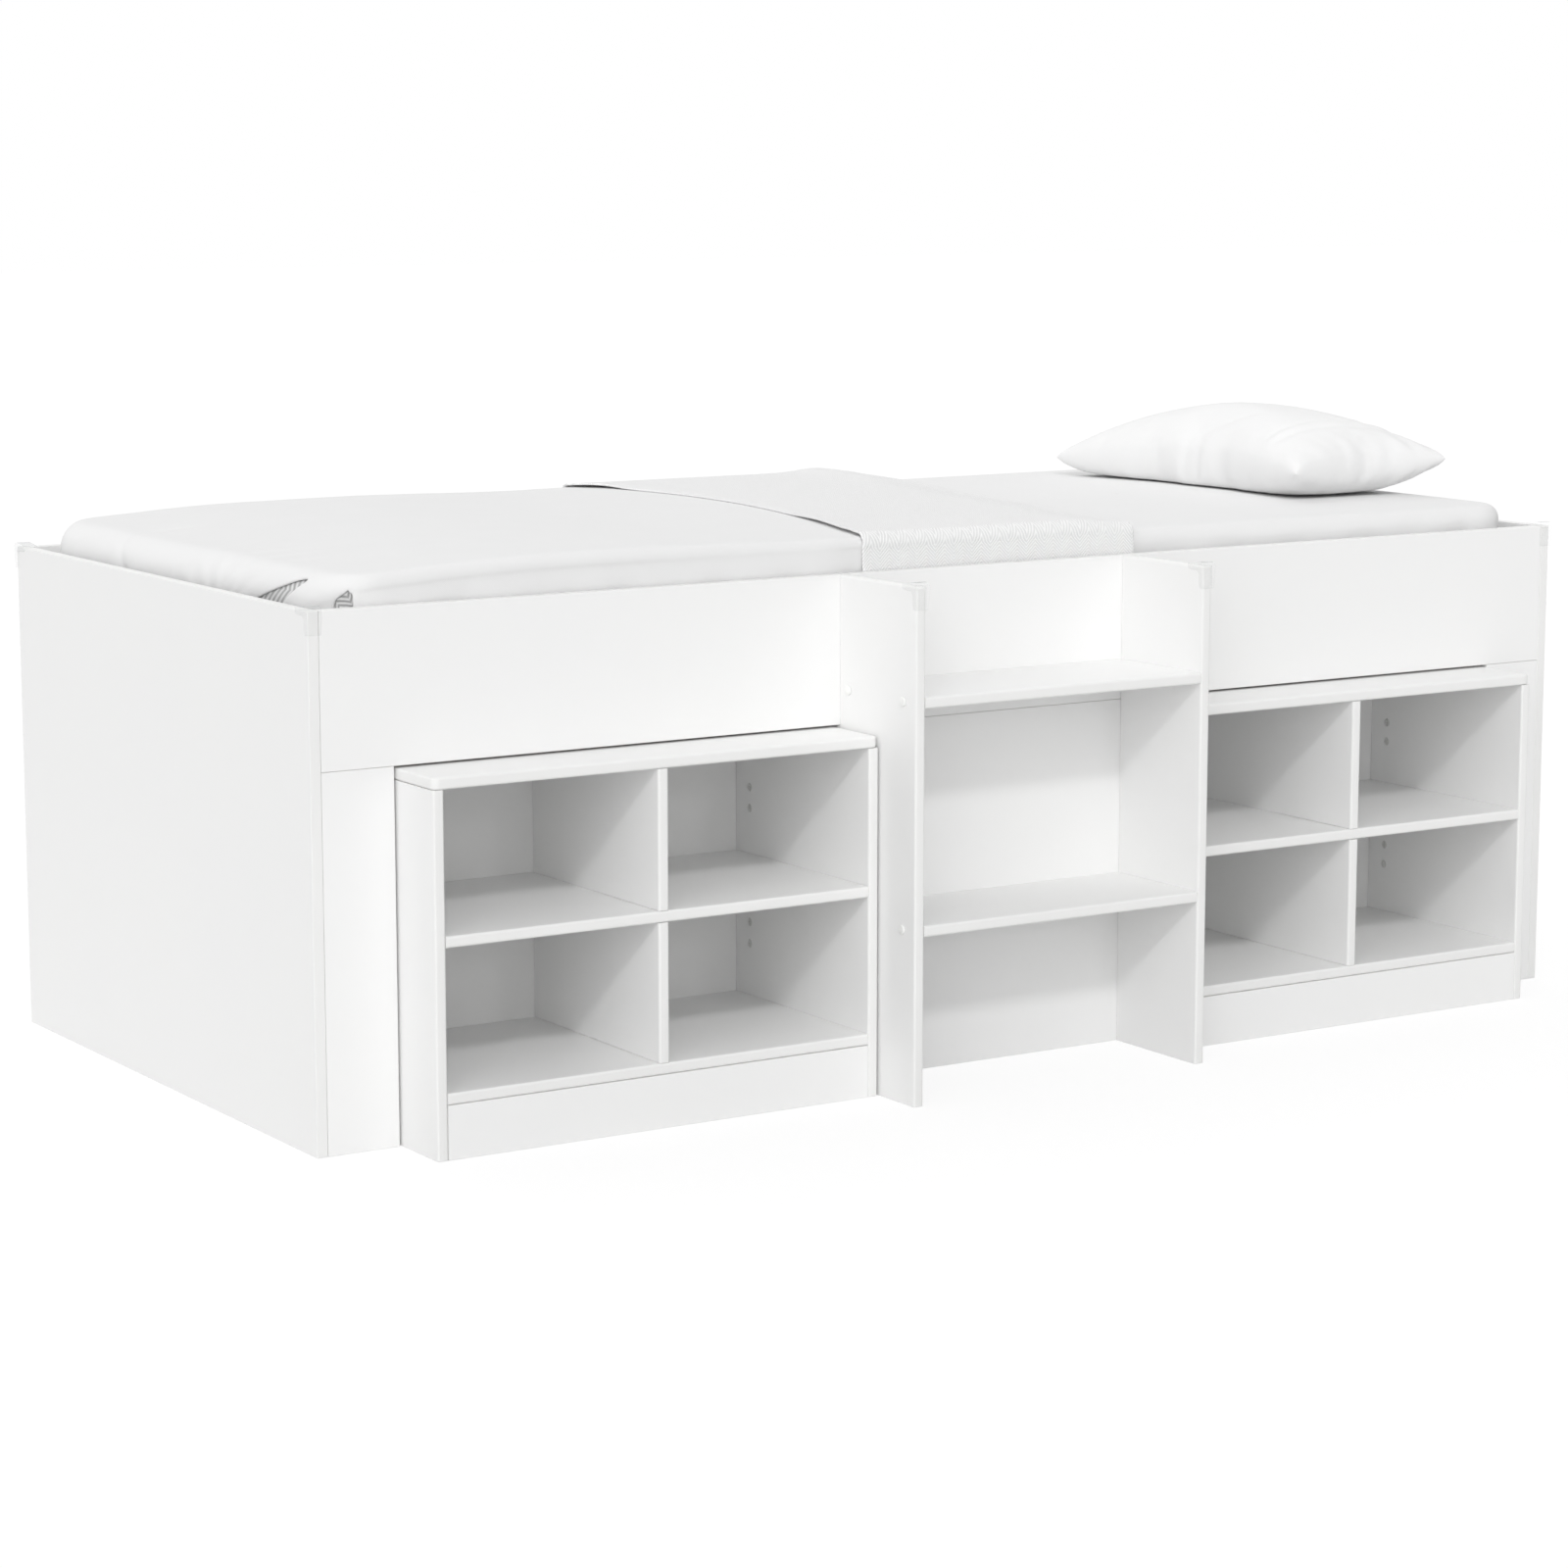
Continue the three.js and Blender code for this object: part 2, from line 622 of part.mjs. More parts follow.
// One face of a blanket layer, `side` off the innermost surface where it hangs and `loft` on top.
function blanketFace(side, loft, start, folds) {
  const across = [
    ...bendPlaces(drapeBox.front, -1).reverse(),
    ...topPlaces(drapeBox.front, drapeBox.rear, 6),
    ...bendPlaces(drapeBox.rear, 1),
  ];
  const edge = start ?? { front: drapeBox.left, rear: drapeBox.left };
  const steps = Math.ceil((headFold.front - edge.front) / (foldPitch / 3));
  const lengthwise = [
    ...(start ? [start.front] : bendPlaces(drapeBox.left, -1).reverse()),
    ...topPlaces(edge.front, headFold.front, steps),
    headFold.front,
  ];
  return lengthwise.map((x) => across.map((y) => {
    const wayAcross = (y - drapeBox.front) / (drapeBox.rear - drapeBox.front);
    const wayAlong = Math.max((x - edge.front) / (headFold.front - edge.front), 0);
    const edgeSlant = edge.rear - edge.front;
    const slant = edgeSlant + (headFold.rear - headFold.front - edgeSlant) * wayAlong;
    const { point, facing, below } = drape(x + slant * Math.min(Math.max(wayAcross, 0), 1), y);
    const off = side + (loft - side) * facing[2] + foldOut(x, below, folds);
    return point.map((value, k) => value + off * facing[k]);
  }));
}

function addBlankets() {
  const none = [bedLength, bedLength]; // a covered face has no folds
  const bared = [mattressBox.left, turnedEdge.front - foldPitch]; // clear of the turned-back layer
  place(bed, 'plain_blanket', skinOfSheets(
    blanketFace(plainSide, plainLoft, footEnd, bared),
    blanketFace(0, 0, footEnd, none),
  ), plainCotton);
  const side = plainSide + layerGap;
  const loft = plainLoft + layerGap;
  place(bed, 'herringbone_blanket', skinOfSheets(
    blanketFace(side + turnedSide, loft + turnedLoft, turnedEdge, [turnedEdge.front, headFold.rear]),
    blanketFace(side, loft, turnedEdge, none),
  ), herringboneCotton);
}

// A pillow of square plan, swollen in the middle, with its sides drawn in between the corners.
// It lies flat where it rests on the mattress.
function addPillow() {
  const steps = 14;
  const fullnessPower = 0.42; // the lower, the fuller towards its edges
  const centreX = innerRight - pillowHeadRoom - pillowWidth / 2;
  const centreY = innerFront + pillowFrontRoom + pillowLength / 2;
  const rest = mattressTop + slip;
  const swell = pillowThickness - pillowSeam - pillowTilt / 2;
  const sheet = (face) => Array.from({ length: steps + 1 }, (_, i) =>
    Array.from({ length: steps + 1 }, (__, j) => {
      const u = Math.sin((i / steps - 0.5) * Math.PI);
      const v = Math.sin((j / steps - 0.5) * Math.PI);
      const x = u * (pillowWidth / 2 - pillowDrawn * (1 - v * v) * Math.abs(u));
      const y = v * (pillowLength / 2 - pillowDrawn * (1 - u * u) * Math.abs(v));
      const fullness = Math.pow((1 - u * u) * (1 - v * v), fullnessPower);
      const corner = rest + pillowSeam + pillowTilt * (1 + u) / 2;
      const up = corner + pillowSplit / 2 + swell * fullness;
      const down = corner - pillowSplit / 2 - pillowThickness * fullness;
      return [centreX + x, centreY + y, face > 0 ? up : Math.max(down, rest)];
    }));
  place(bed, 'pillow', skinOfSheets(sheet(1), sheet(-1)), pillowCotton);
}

addEndPanels();
addRails();
addFrontBoards();
addPartitions();
addSlats();
addLadder();
addStepScrews();
addGuards();
addBookcase('left', innerLeft + frontBoardWidth + nicheGap);
addBookcase('right', ladderRight + nicheGap);
addMattress();
addBlankets();
addPillow();

export default bed;
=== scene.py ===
# A child's low loft bed of white melamine-faced board, made up with a mattress, a pillow, and a
# blanket that is plain on one side and herringbone on the other, turned back at the head. Everything
# is in metres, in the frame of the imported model: X along the bed, -Y towards the ladder, Z up.

import math

import bmesh
import bpy
import numpy as np
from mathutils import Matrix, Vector, noise


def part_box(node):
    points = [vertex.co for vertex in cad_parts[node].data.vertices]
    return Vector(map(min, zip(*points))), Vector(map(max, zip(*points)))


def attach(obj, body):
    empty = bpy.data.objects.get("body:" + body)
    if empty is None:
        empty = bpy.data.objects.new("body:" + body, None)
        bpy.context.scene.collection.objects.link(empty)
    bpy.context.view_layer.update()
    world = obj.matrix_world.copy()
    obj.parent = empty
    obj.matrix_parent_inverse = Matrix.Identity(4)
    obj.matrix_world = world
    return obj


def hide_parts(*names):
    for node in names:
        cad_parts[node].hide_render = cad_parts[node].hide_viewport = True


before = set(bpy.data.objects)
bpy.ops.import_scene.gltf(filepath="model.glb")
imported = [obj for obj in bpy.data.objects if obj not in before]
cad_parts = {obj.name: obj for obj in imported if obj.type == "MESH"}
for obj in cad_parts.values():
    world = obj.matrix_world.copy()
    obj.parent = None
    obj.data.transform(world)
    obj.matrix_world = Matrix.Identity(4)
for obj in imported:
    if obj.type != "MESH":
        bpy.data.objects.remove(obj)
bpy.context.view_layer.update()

MM = 0.001

# Boards
BODY_EASE = 1.2 * MM  # round on the free edges of the bed body
FURNITURE_EASE = 3.2 * MM  # round on the free edges of the ladder and the bookcases
BUTT_EASE = 0.4 * MM  # round on every other edge
LID_CORNER = 10 * MM  # round on the front corners of a bookcase's top
SLOT_SLIP = 0.3 * MM  # room in a slot, a notch or a drilled hole

# How a board's faces are told apart, by the share of their normal that points a way
BROAD_FACE = 0.5  # across the board, before its edges are rounded
LEVEL_FACE = 0.9  # and after
FREE_FACE = 0.3  # one of the free ways
# and its edges, by the angle in radians that their faces turn
ROUNDED_EDGE = 0.9
SHARP_EDGE = 1.2

LATHE_SIDES = 40  # round a cap, a shank, a cam or a drill

# Step screws, their caps, and the cam fittings inside the bookcases
CAP_RADIUS = 6.5 * MM
CAP_THICKNESS = 2 * MM
CAP_CROWN = 0.5 * MM  # how far a cap's round goes back
CAP_RIM = 0.8 * MM
SHANK_RADIUS = 3 * MM
DRILL_RADIUS = 3.3 * MM
CAM_RADIUS = 6.2 * MM
CAM_RECESS = 0.8 * MM
CAM_DEPTH = 9 * MM
CAM_SLIP = 0.15 * MM  # room round the housing
CAM_RIM = 0.8 * MM  # width of its sloping rim
CROSS = (4 * MM, 0.7 * MM)  # half the length and half the width of an arm of the driver's cross
CROSS_DEPTH = 1.5 * MM
CAM_INSET = 34 * MM  # from the back board's face
CAM_DROPS = {"top": (91 * MM, 120 * MM), "shelf": (81 * MM, 111 * MM)}  # below the board over them

# Corner guards
GUARD_ARM = 30 * MM  # each way from the board's corner
GUARD_PROUD = 5.5 * MM  # thickness of the bow at the corner
GUARD_TIP = 2.4 * MM  # and at the arms' ends
GUARD_BAND = 6 * MM  # how far the cheeks reach over the board's faces
GUARD_CHEEK = 2 * MM  # thickness of the cheeks
GUARD_SLIP = 0.3 * MM  # room between the guard and the board
GUARD_CORNER = 8 * MM  # round of the bow at the corner
GUARD_BEND = 8 * MM  # round of the cheeks' inner edge there
GUARD_END = (4 * MM, 10 * MM)  # from an arm's end to the middle and the end of the cheek's round
GUARD_EASE = 0.45 * MM  # round of its edges

# Mattress
MATTRESS_EDGE = 22 * MM  # round of its edges
MATTRESS_CORNER = 70 * MM  # round of its corners, seen from above
MATTRESS_CROWN = 3 * MM  # how much higher it is in the middle
RIDGE = 20 * MM  # half the width of the strip that closes its top
GATHER_DEPTH = 1.6 * MM  # of the sheet's gathers at the corners
GATHER_REACH = 90 * MM
GATHER_COUNT = 260  # in a full turn

# Blanket, as distances from the mattress
LAYER_GAP = 0.6 * MM
FOOT_LOFT = 14.8 * MM  # of the plain layer at the foot half
PLAIN_LOFT = 10 * MM  # and where it is covered
PLAIN_STANDS = 7 * MM  # off the mattress where it hangs bare
PLAIN_SIDE = 3.6 * MM  # and where it hangs covered
TURNED_LOFT = 15 * MM  # of the turned-back layer, plain layer included
TURNED_SIDE = 8 * MM
FOLD_LOFT = 7.6 * MM  # of both layers where the blanket is folded at the head
FOLD_REACH = 100 * MM  # and how far from the fold they take to rise
CLOTH = 3.4 * MM  # thickness of one layer
SIDE_BEND = 6 * MM  # inside radius where the blanket turns down at the sides
FOOT_BEND = 34 * MM  # and at the foot
BLANKET_CORNER = 72 * MM  # round of its corner over the mattress, seen from above
BLANKET_DROP = 110 * MM  # how far it hangs down
FOOT_SINK = 13 * MM  # how far the bedding sinks at the foot
FOOT_SINK_REACH = 180 * MM
FOLD_INSIDE = 0.3 * MM  # room under the fold at the head
FOLD_WIDTH = 130 * MM  # from one hanging fold to the next
HEAD_FOLD = (256 * MM, 375 * MM)  # where the blanket is turned back, at the front and the wall
# where the turned-back layer ends, by the way across from the front to the wall
TURNED_EDGE = ((0, -174 * MM), (0.07, -155 * MM), (0.15, -138 * MM), (0.24, -123 * MM), (0.33, -106 * MM),
               (0.42, -91 * MM), (0.52, -80 * MM), (0.61, -73 * MM), (0.69, -71 * MM), (0.82, -80 * MM),
               (0.9, -83 * MM), (0.96, -92 * MM), (1, -104 * MM))
HEM_LEAN = (20 * MM, 46 * MM)  # how far its end leans to the foot as it goes over the front and the rear
HEM_LEAN_REACH = 75 * MM
HEM_REACH = 45 * MM  # how far in from that end the cloth lifts
HEM_STEP = 0.006  # share of the layer in the first strip of its end, which keeps the end crisp

# Pillow
PILLOW_CUT = (0.345, 0.652)  # its cover laid flat, along and across the bed
PILLOW_SEAM = 26 * MM  # height of its seam at its lowest corner, at the foot side and the wall
PILLOW_TILTS = (11 * MM, 15 * MM)  # and how much higher it is at the head side and at the front
PILLOW_CREASING = 0.32  # how much of the blown-up cloth's creasing stays once it is well filled
PILLOW_STEPS = (62, 116)  # faces of each panel, along and across the bed
PILLOW_START = 24 * MM  # how far each panel bulges before it is blown up
PILLOW_RISE = 62 * MM  # and afterwards
PILLOW_FULLNESS = 0.42  # the lower it is, the nearer to its seams the pillow is full
PILLOW_DRAWN = 22 * MM  # how far the filling draws the middles of the seams in
PILLOW_SOFTNESS = 5 * MM  # round of its underside where it comes to lie on the sheet
PILLOW_CLOTH = {"quality": 6, "mass": 0.25, "tension_stiffness": 25, "compression_stiffness": 25,
                "shear_stiffness": 8, "bending_stiffness": 0.5, "use_pressure": True,
                "uniform_pressure_force": 5.0}

# Unevenness of the cloths: its height, its size, and which part of the noise it takes
UNEVEN = {
    "sheet_sides": (3 * MM, 60 * MM, 3.1),
    "sheet_top": (0.8 * MM, 240 * MM, 7.7),
    "plain_hanging": (2 * MM, 32 * MM, 9.4),
    "plain_hanging_fine": (1 * MM, 13 * MM, 6.1),
    "plain_top": (0.9 * MM, 200 * MM, 2.6),
    "plain_fine": (0.3 * MM, 30 * MM, 4.4),
    "turned_hanging": (1 * MM, 60 * MM, 1.3),
    "turned_top": (0.5 * MM, 150 * MM, 5.2),
    "pillow_ends": (3 * MM, 19 * MM, 5.5),
    "pillow_sides": (3 * MM, 24 * MM, 2.2),
}


# Shading nodes

def linear(code):
    """An sRGB hex colour as linear RGBA."""
    parts = [int(code[i:i + 2], 16) / 255 for i in (1, 3, 5)]
    return [c / 12.92 if c <= 0.04045 else ((c + 0.055) / 1.055) ** 2.4 for c in parts] + [1.0]


def add(tree, kind, inputs=None, **settings):
    """Adds one node with its settings. Each input is a plain value, another node's output, or
    another node, whose first output it takes."""
    made = tree.nodes.new("ShaderNode" + kind)
    for name, value in settings.items():
        setattr(made, name, value)
    for name, value in (inputs or {}).items():
        if isinstance(value, bpy.types.Node):
            value = value.outputs[0]
        if isinstance(value, bpy.types.NodeSocket):
            tree.links.new(value, made.inputs[name])
        else:
            made.inputs[name].default_value = value
    return made


def surface(name, **fixed):
    """A new material with its Principled shader, whose plain values are set on its own sockets."""
    made = bpy.data.materials.new(name)
    made.use_nodes = True
    tree = made.node_tree
    tree.nodes.clear()
    shader = add(tree, "BsdfPrincipled", {k.replace("_", " "): v for k, v in fixed.items()})
    add(tree, "OutputMaterial", {"Surface": shader})
    return made, tree, shader


NOISE_SPAN = (0.3, 0.7)  # between which nearly all of a noise's values lie


def dress(tree, shader, tone, colours, wear, roughness, height, relief):
    """Joins a surface up. Its colour lies between two hex colours by `tone`, its roughness between
    two values by `wear`, and `height` raises it by `relief`, a strength and a depth."""
    dark, light = (linear(code) for code in colours)
    colour = add(tree, "Mix", {0: tone, 6: dark, 7: light}, data_type="RGBA").outputs[2]
    rough = add(tree, "MapRange", dict(enumerate([wear, *NOISE_SPAN, *roughness])))
    bump = add(tree, "Bump", {"Strength": relief[0], "Distance": relief[1], "Height": height})
    tree.links.new(colour, shader.inputs["Base Color"])
    tree.links.new(rough.outputs[0], shader.inputs["Roughness"])
    tree.links.new(bump.outputs[0], shader.inputs["Normal"])


# Materials

def melamine():
    """White melamine-faced chipboard, pressed against a satin plate: even, cool white, a soft
    sheen and the faintest orange peel. The real peel is 0.6 mm; it is drawn 3 mm wide to show."""
    made, tree, shader = surface("melamine_board", IOR=1.5, Specular_IOR_Level=0.35)
    where = add(tree, "TexCoord").outputs["Object"]
    cloud = add(tree, "TexNoise", {"Vector": where, "Scale": 4.0, "Detail": 2.0})
    peel = add(tree, "TexNoise", {"Vector": where, "Scale": 1 / (3 * MM), "Detail": 1.0})
    dress(tree, shader, cloud, ("#F1F1F1", "#F4F4F3"), cloud, (0.42, 0.5), peel, (0.12, 0.1 * MM))
    return made


def edge_banding():
    """ABS edge banding, extruded, glued on and scraped round: a shade darker and smoother than the
    faces, with fine drawn lines. The real lines are 0.2 mm apart; they are drawn 1.5 mm apart."""
    made, tree, shader = surface("edge_banding", IOR=1.5, Specular_IOR_Level=0.35)
    where = add(tree, "TexCoord").outputs["Object"]
    lines = add(tree, "TexNoise", {"Vector": where, "Scale": 1 / (1.5 * MM), "Detail": 0.0})
    drift = add(tree, "TexNoise", {"Vector": where, "Scale": 9.0, "Detail": 2.0})
    dress(tree, shader, drift, ("#ECECEB", "#F0F0EF"), drift, (0.36, 0.44), lines, (0.08, 0.1 * MM))
    return made


def spruce(name, along):
    """Planed spruce, uncoated: pale straw wood, darker late-wood lines 3 mm apart that run along
    the piece, and dull fibres."""
    made, tree, shader = surface(name, IOR=1.45, Specular_IOR_Level=0.25)
    squeeze = [1.0, 1.0, 1.0]
    squeeze[along] = 0.06
    where = add(tree, "Mapping", {"Vector": add(tree, "TexCoord").outputs["Object"], "Scale": squeeze})
    grain = add(tree, "TexNoise", {"Vector": where, "Scale": 1 / (12 * MM), "Detail": 3.0,
                                   "Distortion": 0.6})
    turns = add(tree, "Math", {0: grain, 1: 38.0}, operation="MULTIPLY")
    rings = add(tree, "Math", {0: turns}, operation="SINE")
    late = add(tree, "MapRange", {0: rings, 1: -0.2, 2: 1.0})
    fibres = add(tree, "TexNoise", {"Vector": where, "Scale": 1 / (1.2 * MM)})
    dress(tree, shader, late, ("#E2C79B", "#C9A36C"), fibres, (0.6, 0.78), fibres, (0.3, 0.3 * MM))
    return made


def clear_plastic():
    """Clear soft PVC, injection moulded in a 2 mm wall: the board shows through it. Its rims are painted
    grey where the eye looks along the wall: painted shade for the darker look of a clear wall seen
    edgewise."""
    made, tree, shader = surface("clear_plastic", IOR=1.46, Specular_IOR_Level=0.5)
    rim = add(tree, "LayerWeight", {"Blend": 0.35}).outputs["Facing"]
    painted_rim_shade = add(tree, "MapRange", {0: rim, 1: 0.42, 2: 0.85})
    seen = add(tree, "MapRange", {0: rim, 1: 0.42, 2: 0.85, 3: 0.08, 4: 0.78})
    # the wall's inner side adds nothing, so that it doesn't flicker where it lies on a board
    inner = add(tree, "NewGeometry").outputs["Backfacing"]
    outer = add(tree, "Math", {0: 1.0, 1: inner}, operation="SUBTRACT")
    cover = add(tree, "Math", {0: seen, 1: outer}, operation="MULTIPLY")
    tree.links.new(cover.outputs[0], shader.inputs["Alpha"])
    where = add(tree, "TexCoord").outputs["Object"]
    flow = add(tree, "TexNoise", {"Vector": where, "Scale": 1 / (9 * MM), "Detail": 1.0})
    # the rims' grey is painted shade, set by how the eye meets the wall
    dress(tree, shader, painted_rim_shade, ("#E4E6E6", "#888C8C"), flow, (0.1, 0.2), flow, (0.15, 0.4 * MM))
    return made


def white_plastic(name, dark, light):
    """White polyethylene, injection moulded with a fine spark texture: milky, soft highlights.
    The real texture is 0.1 mm; it is drawn 0.8 mm wide."""
    made, tree, shader = surface(name, IOR=1.5, Subsurface_Weight=0.05,
                                 Subsurface_Radius=(3 * MM, 3 * MM, 3 * MM))
    where = add(tree, "TexCoord").outputs["Object"]
    spark = add(tree, "TexNoise", {"Vector": where, "Scale": 1 / (0.8 * MM), "Detail": 1.0})
    dress(tree, shader, spark, (dark, light), spark, (0.34, 0.44), spark, (0.2, 0.1 * MM))
    return made


LOOSE_FIBRES = {"IOR": 1.45, "Specular_IOR_Level": 0.15, "Sheen_Weight": 0.12, "Sheen_Roughness": 0.5}


def cotton(name, dark, light, pitch, weave_depth, nap):
    """Plain-woven cotton: matt, with a thin pale sheen from its loose fibres, an even weave and a
    soft unevenness. The weave's hollows are painted a little darker, as painted shade. `pitch` is the
    drawn thread spacing; the real one, 0.3 to 0.5 mm, is too fine."""
    made, tree, shader = surface(name, **LOOSE_FIBRES)
    flat = add(tree, "UVMap", uv_map="flat")
    cloud = add(tree, "TexNoise", {"Vector": flat, "Scale": 14.0, "Detail": 4.0})
    slub = add(tree, "TexNoise", {"Vector": flat, "Scale": 1 / nap, "Detail": 2.0})
    split = add(tree, "SeparateXYZ", {0: flat}).outputs
    waves = []
    for way in split[:2]:
        turns = add(tree, "Math", {0: way, 1: 2 * math.pi / pitch}, operation="MULTIPLY")
        waves.append(add(tree, "Math", {0: turns}, operation="SINE"))
    crossing = add(tree, "Math", dict(enumerate(waves)), operation="MULTIPLY")
    weave = add(tree, "Math", {0: crossing, 1: 0.5, 2: 0.5}, operation="MULTIPLY_ADD")
    # the weave's hollows are painted darker in the colour: painted shade
    faint = add(tree, "Math", {0: weave, 1: 0.4}, operation="MULTIPLY")
    tone = add(tree, "Math", {0: cloud, 1: 0.6, 2: faint}, operation="MULTIPLY_ADD")
    height = add(tree, "Math", {0: slub, 1: 0.8, 2: weave}, operation="MULTIPLY_ADD")
    dress(tree, shader, tone, (dark, light), slub, (0.84, 0.94), height, (0.5, weave_depth))
    return made


def herringbone(name, dark, light, rib):
    """Herringbone-woven cotton: slanting ribs that turn about in columns 15 mm wide, soft and
    matt. Their hollows are painted darker, as painted shade. `rib` is their drawn spacing; the real
    ribs, about 2 mm apart, are too fine."""
    made, tree, shader = surface(name, **LOOSE_FIBRES)
    flat = add(tree, "UVMap", uv_map="flat")
    split = add(tree, "SeparateXYZ", {0: flat}).outputs
    zigzag = add(tree, "Math", {0: split[0], 1: 15 * MM}, operation="PINGPONG")
    slant = add(tree, "Math", {0: split[1], 1: zigzag}, operation="ADD")
    turns = add(tree, "Math", {0: slant, 1: 2 * math.pi / rib}, operation="MULTIPLY")
    ribs = add(tree, "Math", {0: turns}, operation="SINE")
    height = add(tree, "Math", {0: ribs, 1: 0.5, 2: 0.5}, operation="MULTIPLY_ADD")
    yarn = add(tree, "TexNoise", {"Vector": flat, "Scale": 1 / (4 * MM), "Detail": 2.0})
    # the ribs' hollows are painted darker than their tops: painted shade
    painted_rib_shade = add(tree, "Math", {0: height, 1: 0.7}, operation="MULTIPLY")
    tone = add(tree, "Math", {0: yarn, 1: 0.3, 2: painted_rib_shade}, operation="MULTIPLY_ADD")
    dress(tree, shader, tone, (dark, light), yarn, (0.85, 0.95), height, (0.8, 0.6 * MM))
    return made


MELAMINE = melamine()
BANDING = edge_banding()
SPRUCE_ACROSS = spruce("bare_wood_slats", 1)
SPRUCE_ALONG = spruce("bare_wood_ledges", 0)
CLEAR = clear_plastic()
CAP = white_plastic("cap_plastic", "#F2F2F0", "#F6F6F5")
CAM = white_plastic("cam_plastic", "#DCDCDA", "#E2E2E0")
SHEET = cotton("sheet_cotton", "#E8E8E8", "#ECECEC", 1.6 * MM, 0.12 * MM, 6 * MM)
PLAIN = cotton("plain_cotton", "#E7E7E7", "#EBEBEB", 2.2 * MM, 0.2 * MM, 7 * MM)
PILLOW = cotton("pillow_cotton", "#ECECEC", "#F0F0F0", 1.6 * MM, 0.1 * MM, 6 * MM)
HERRINGBONE = herringbone("herringbone_cotton", "#E0E0E0", "#FAFAFA", 4.8 * MM)
# the same cloth in the depth of the pleats, with painted shade: darker tones and stronger ribs stand
# in for the shade there. Its ribs are drawn out in the first and pressed together in the second
PAINTED_SHADE_DRAWN_OUT = herringbone("herringbone_cotton_drawn_out_painted_shade", "#969696", "#EAEAEA", 12 * MM)
PAINTED_SHADE_PRESSED = herringbone("herringbone_cotton_pressed_painted_shade", "#8C8C8C", "#EEEEEE", 7 * MM)


# Pieces

def show(name, mesh, materials):
    """An object in the row frame that shows a mesh."""
    for material in materials:
        mesh.materials.append(material)
    made = bpy.data.objects.new(name, mesh)
    bpy.context.scene.collection.objects.link(made)
    return made


def piece(name, points, faces, materials, flat=None):
    """A smooth object from points. `flat` gives each point its place on the cloth laid flat."""
    mesh = bpy.data.meshes.new(name)
    mesh.from_pydata([tuple(p) for p in points], [], [tuple(f) for f in faces])
    if flat is not None:
        layer = mesh.uv_layers.new(name="flat")
        corners = np.zeros(len(mesh.loops), np.int32)
        mesh.loops.foreach_get("vertex_index", corners)
        layer.data.foreach_set("uv", np.asarray(flat, np.float32)[corners].ravel())
    mesh.polygons.foreach_set("use_smooth", [True] * len(mesh.polygons))
    mesh.update()
    return show(name, mesh, materials)


def carved(name, shape, materials=()):
    """An object from a bmesh, which is used up."""
    mesh = bpy.data.meshes.new(name)
    shape.to_mesh(mesh)
    shape.free()
    return show(name, mesh, materials)


def rework(made, change):
    """Changes a piece's mesh as a bmesh."""
    shape = bmesh.new()
    shape.from_mesh(made.data)
    change(shape)
    shape.to_mesh(made.data)
    shape.free()


def bands(rings, count, first=0):
    """The faces between closed rings of `count` points each, which begin at the point `first`."""
    faces = []
    for here in range(first, first + (rings - 1) * count, count):
        there = here + count
        for i in range(count):
            j = (i + 1) % count
            faces.append((here + i, here + j, there + j, there + i))
    return faces


def settle(made, body, slot, *nodes):
    """Gives a piece its body and hides the nodes that it stands for. Its `slot` is not used."""
    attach(made, body)
    if nodes:
        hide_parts(*nodes)


def cut_away(made, tools):
    """Takes closed tool pieces out of a piece, and deletes them."""
    for tool in tools:
        cutter = made.modifiers.new("cut", "BOOLEAN")
        cutter.operation, cutter.solver, cutter.object = "DIFFERENCE", "EXACT", tool
    graph = bpy.context.evaluated_depsgraph_get()
    mesh = bpy.data.meshes.new_from_object(made.evaluated_get(graph))
    made.modifiers.clear()
    made.data = mesh
    for tool in tools:
        bpy.data.objects.remove(tool)


def refine(made):
    """Smooths a cloth once more."""
    smooth = made.modifiers.new("smooth", "SUBSURF")
    smooth.levels = smooth.render_levels = 1


def even_shading(made):
    """Keeps broad faces evenly lit up to their rounded edges."""
    made.modifiers.new("shading", "WEIGHTED_NORMAL").keep_sharp = True


# Boards

AXES = {"x": (1, 2, 0), "y": (0, 2, 1), "z": (0, 1, 2)}


def prism(axis, outline, start, stop):
    """A bmesh prism of an outline drawn across an axis."""
    u, v, w = AXES[axis]
    shape = bmesh.new()
    rings = []
    for level in (start, stop):
        ring = []
        for point in outline:
            place = [0.0, 0.0, 0.0]
            place[u], place[v], place[w] = point[0], point[1], level
            ring.append(shape.verts.new(place))
        rings.append(ring)
    low, high = rings
    shape.faces.new(low)
    shape.faces.new(high)
    for side in zip(low, low[1:] + low[:1], high[1:] + high[:1], high):
        shape.faces.new(side)
    bmesh.ops.recalc_face_normals(shape, faces=shape.faces)
    return shape


def rectangle(left, bottom, right, top):
    """Its corners, in order round it."""
    return [(left, bottom), (right, bottom), (right, top), (left, top)]


def ease_edges(shape, edges, width, steps):
    """Rounds some edges of a bmesh."""
    if edges:
        bmesh.ops.bevel(shape, geom=edges, offset=width, segments=steps, profile=0.5,
                        affect="EDGES", clamp_overlap=True)


def is_free(face, axis, free):
    """Whether a narrow face of a board looks one of the free ways, which are given like "+x"."""
    if abs(face.normal[AXES[axis][2]]) > BROAD_FACE:
        return False
    signs = {"+": 1, "-": -1}
    return any(face.normal["xyz".index(way)] * signs[sign] > FREE_FACE for sign, way in free)


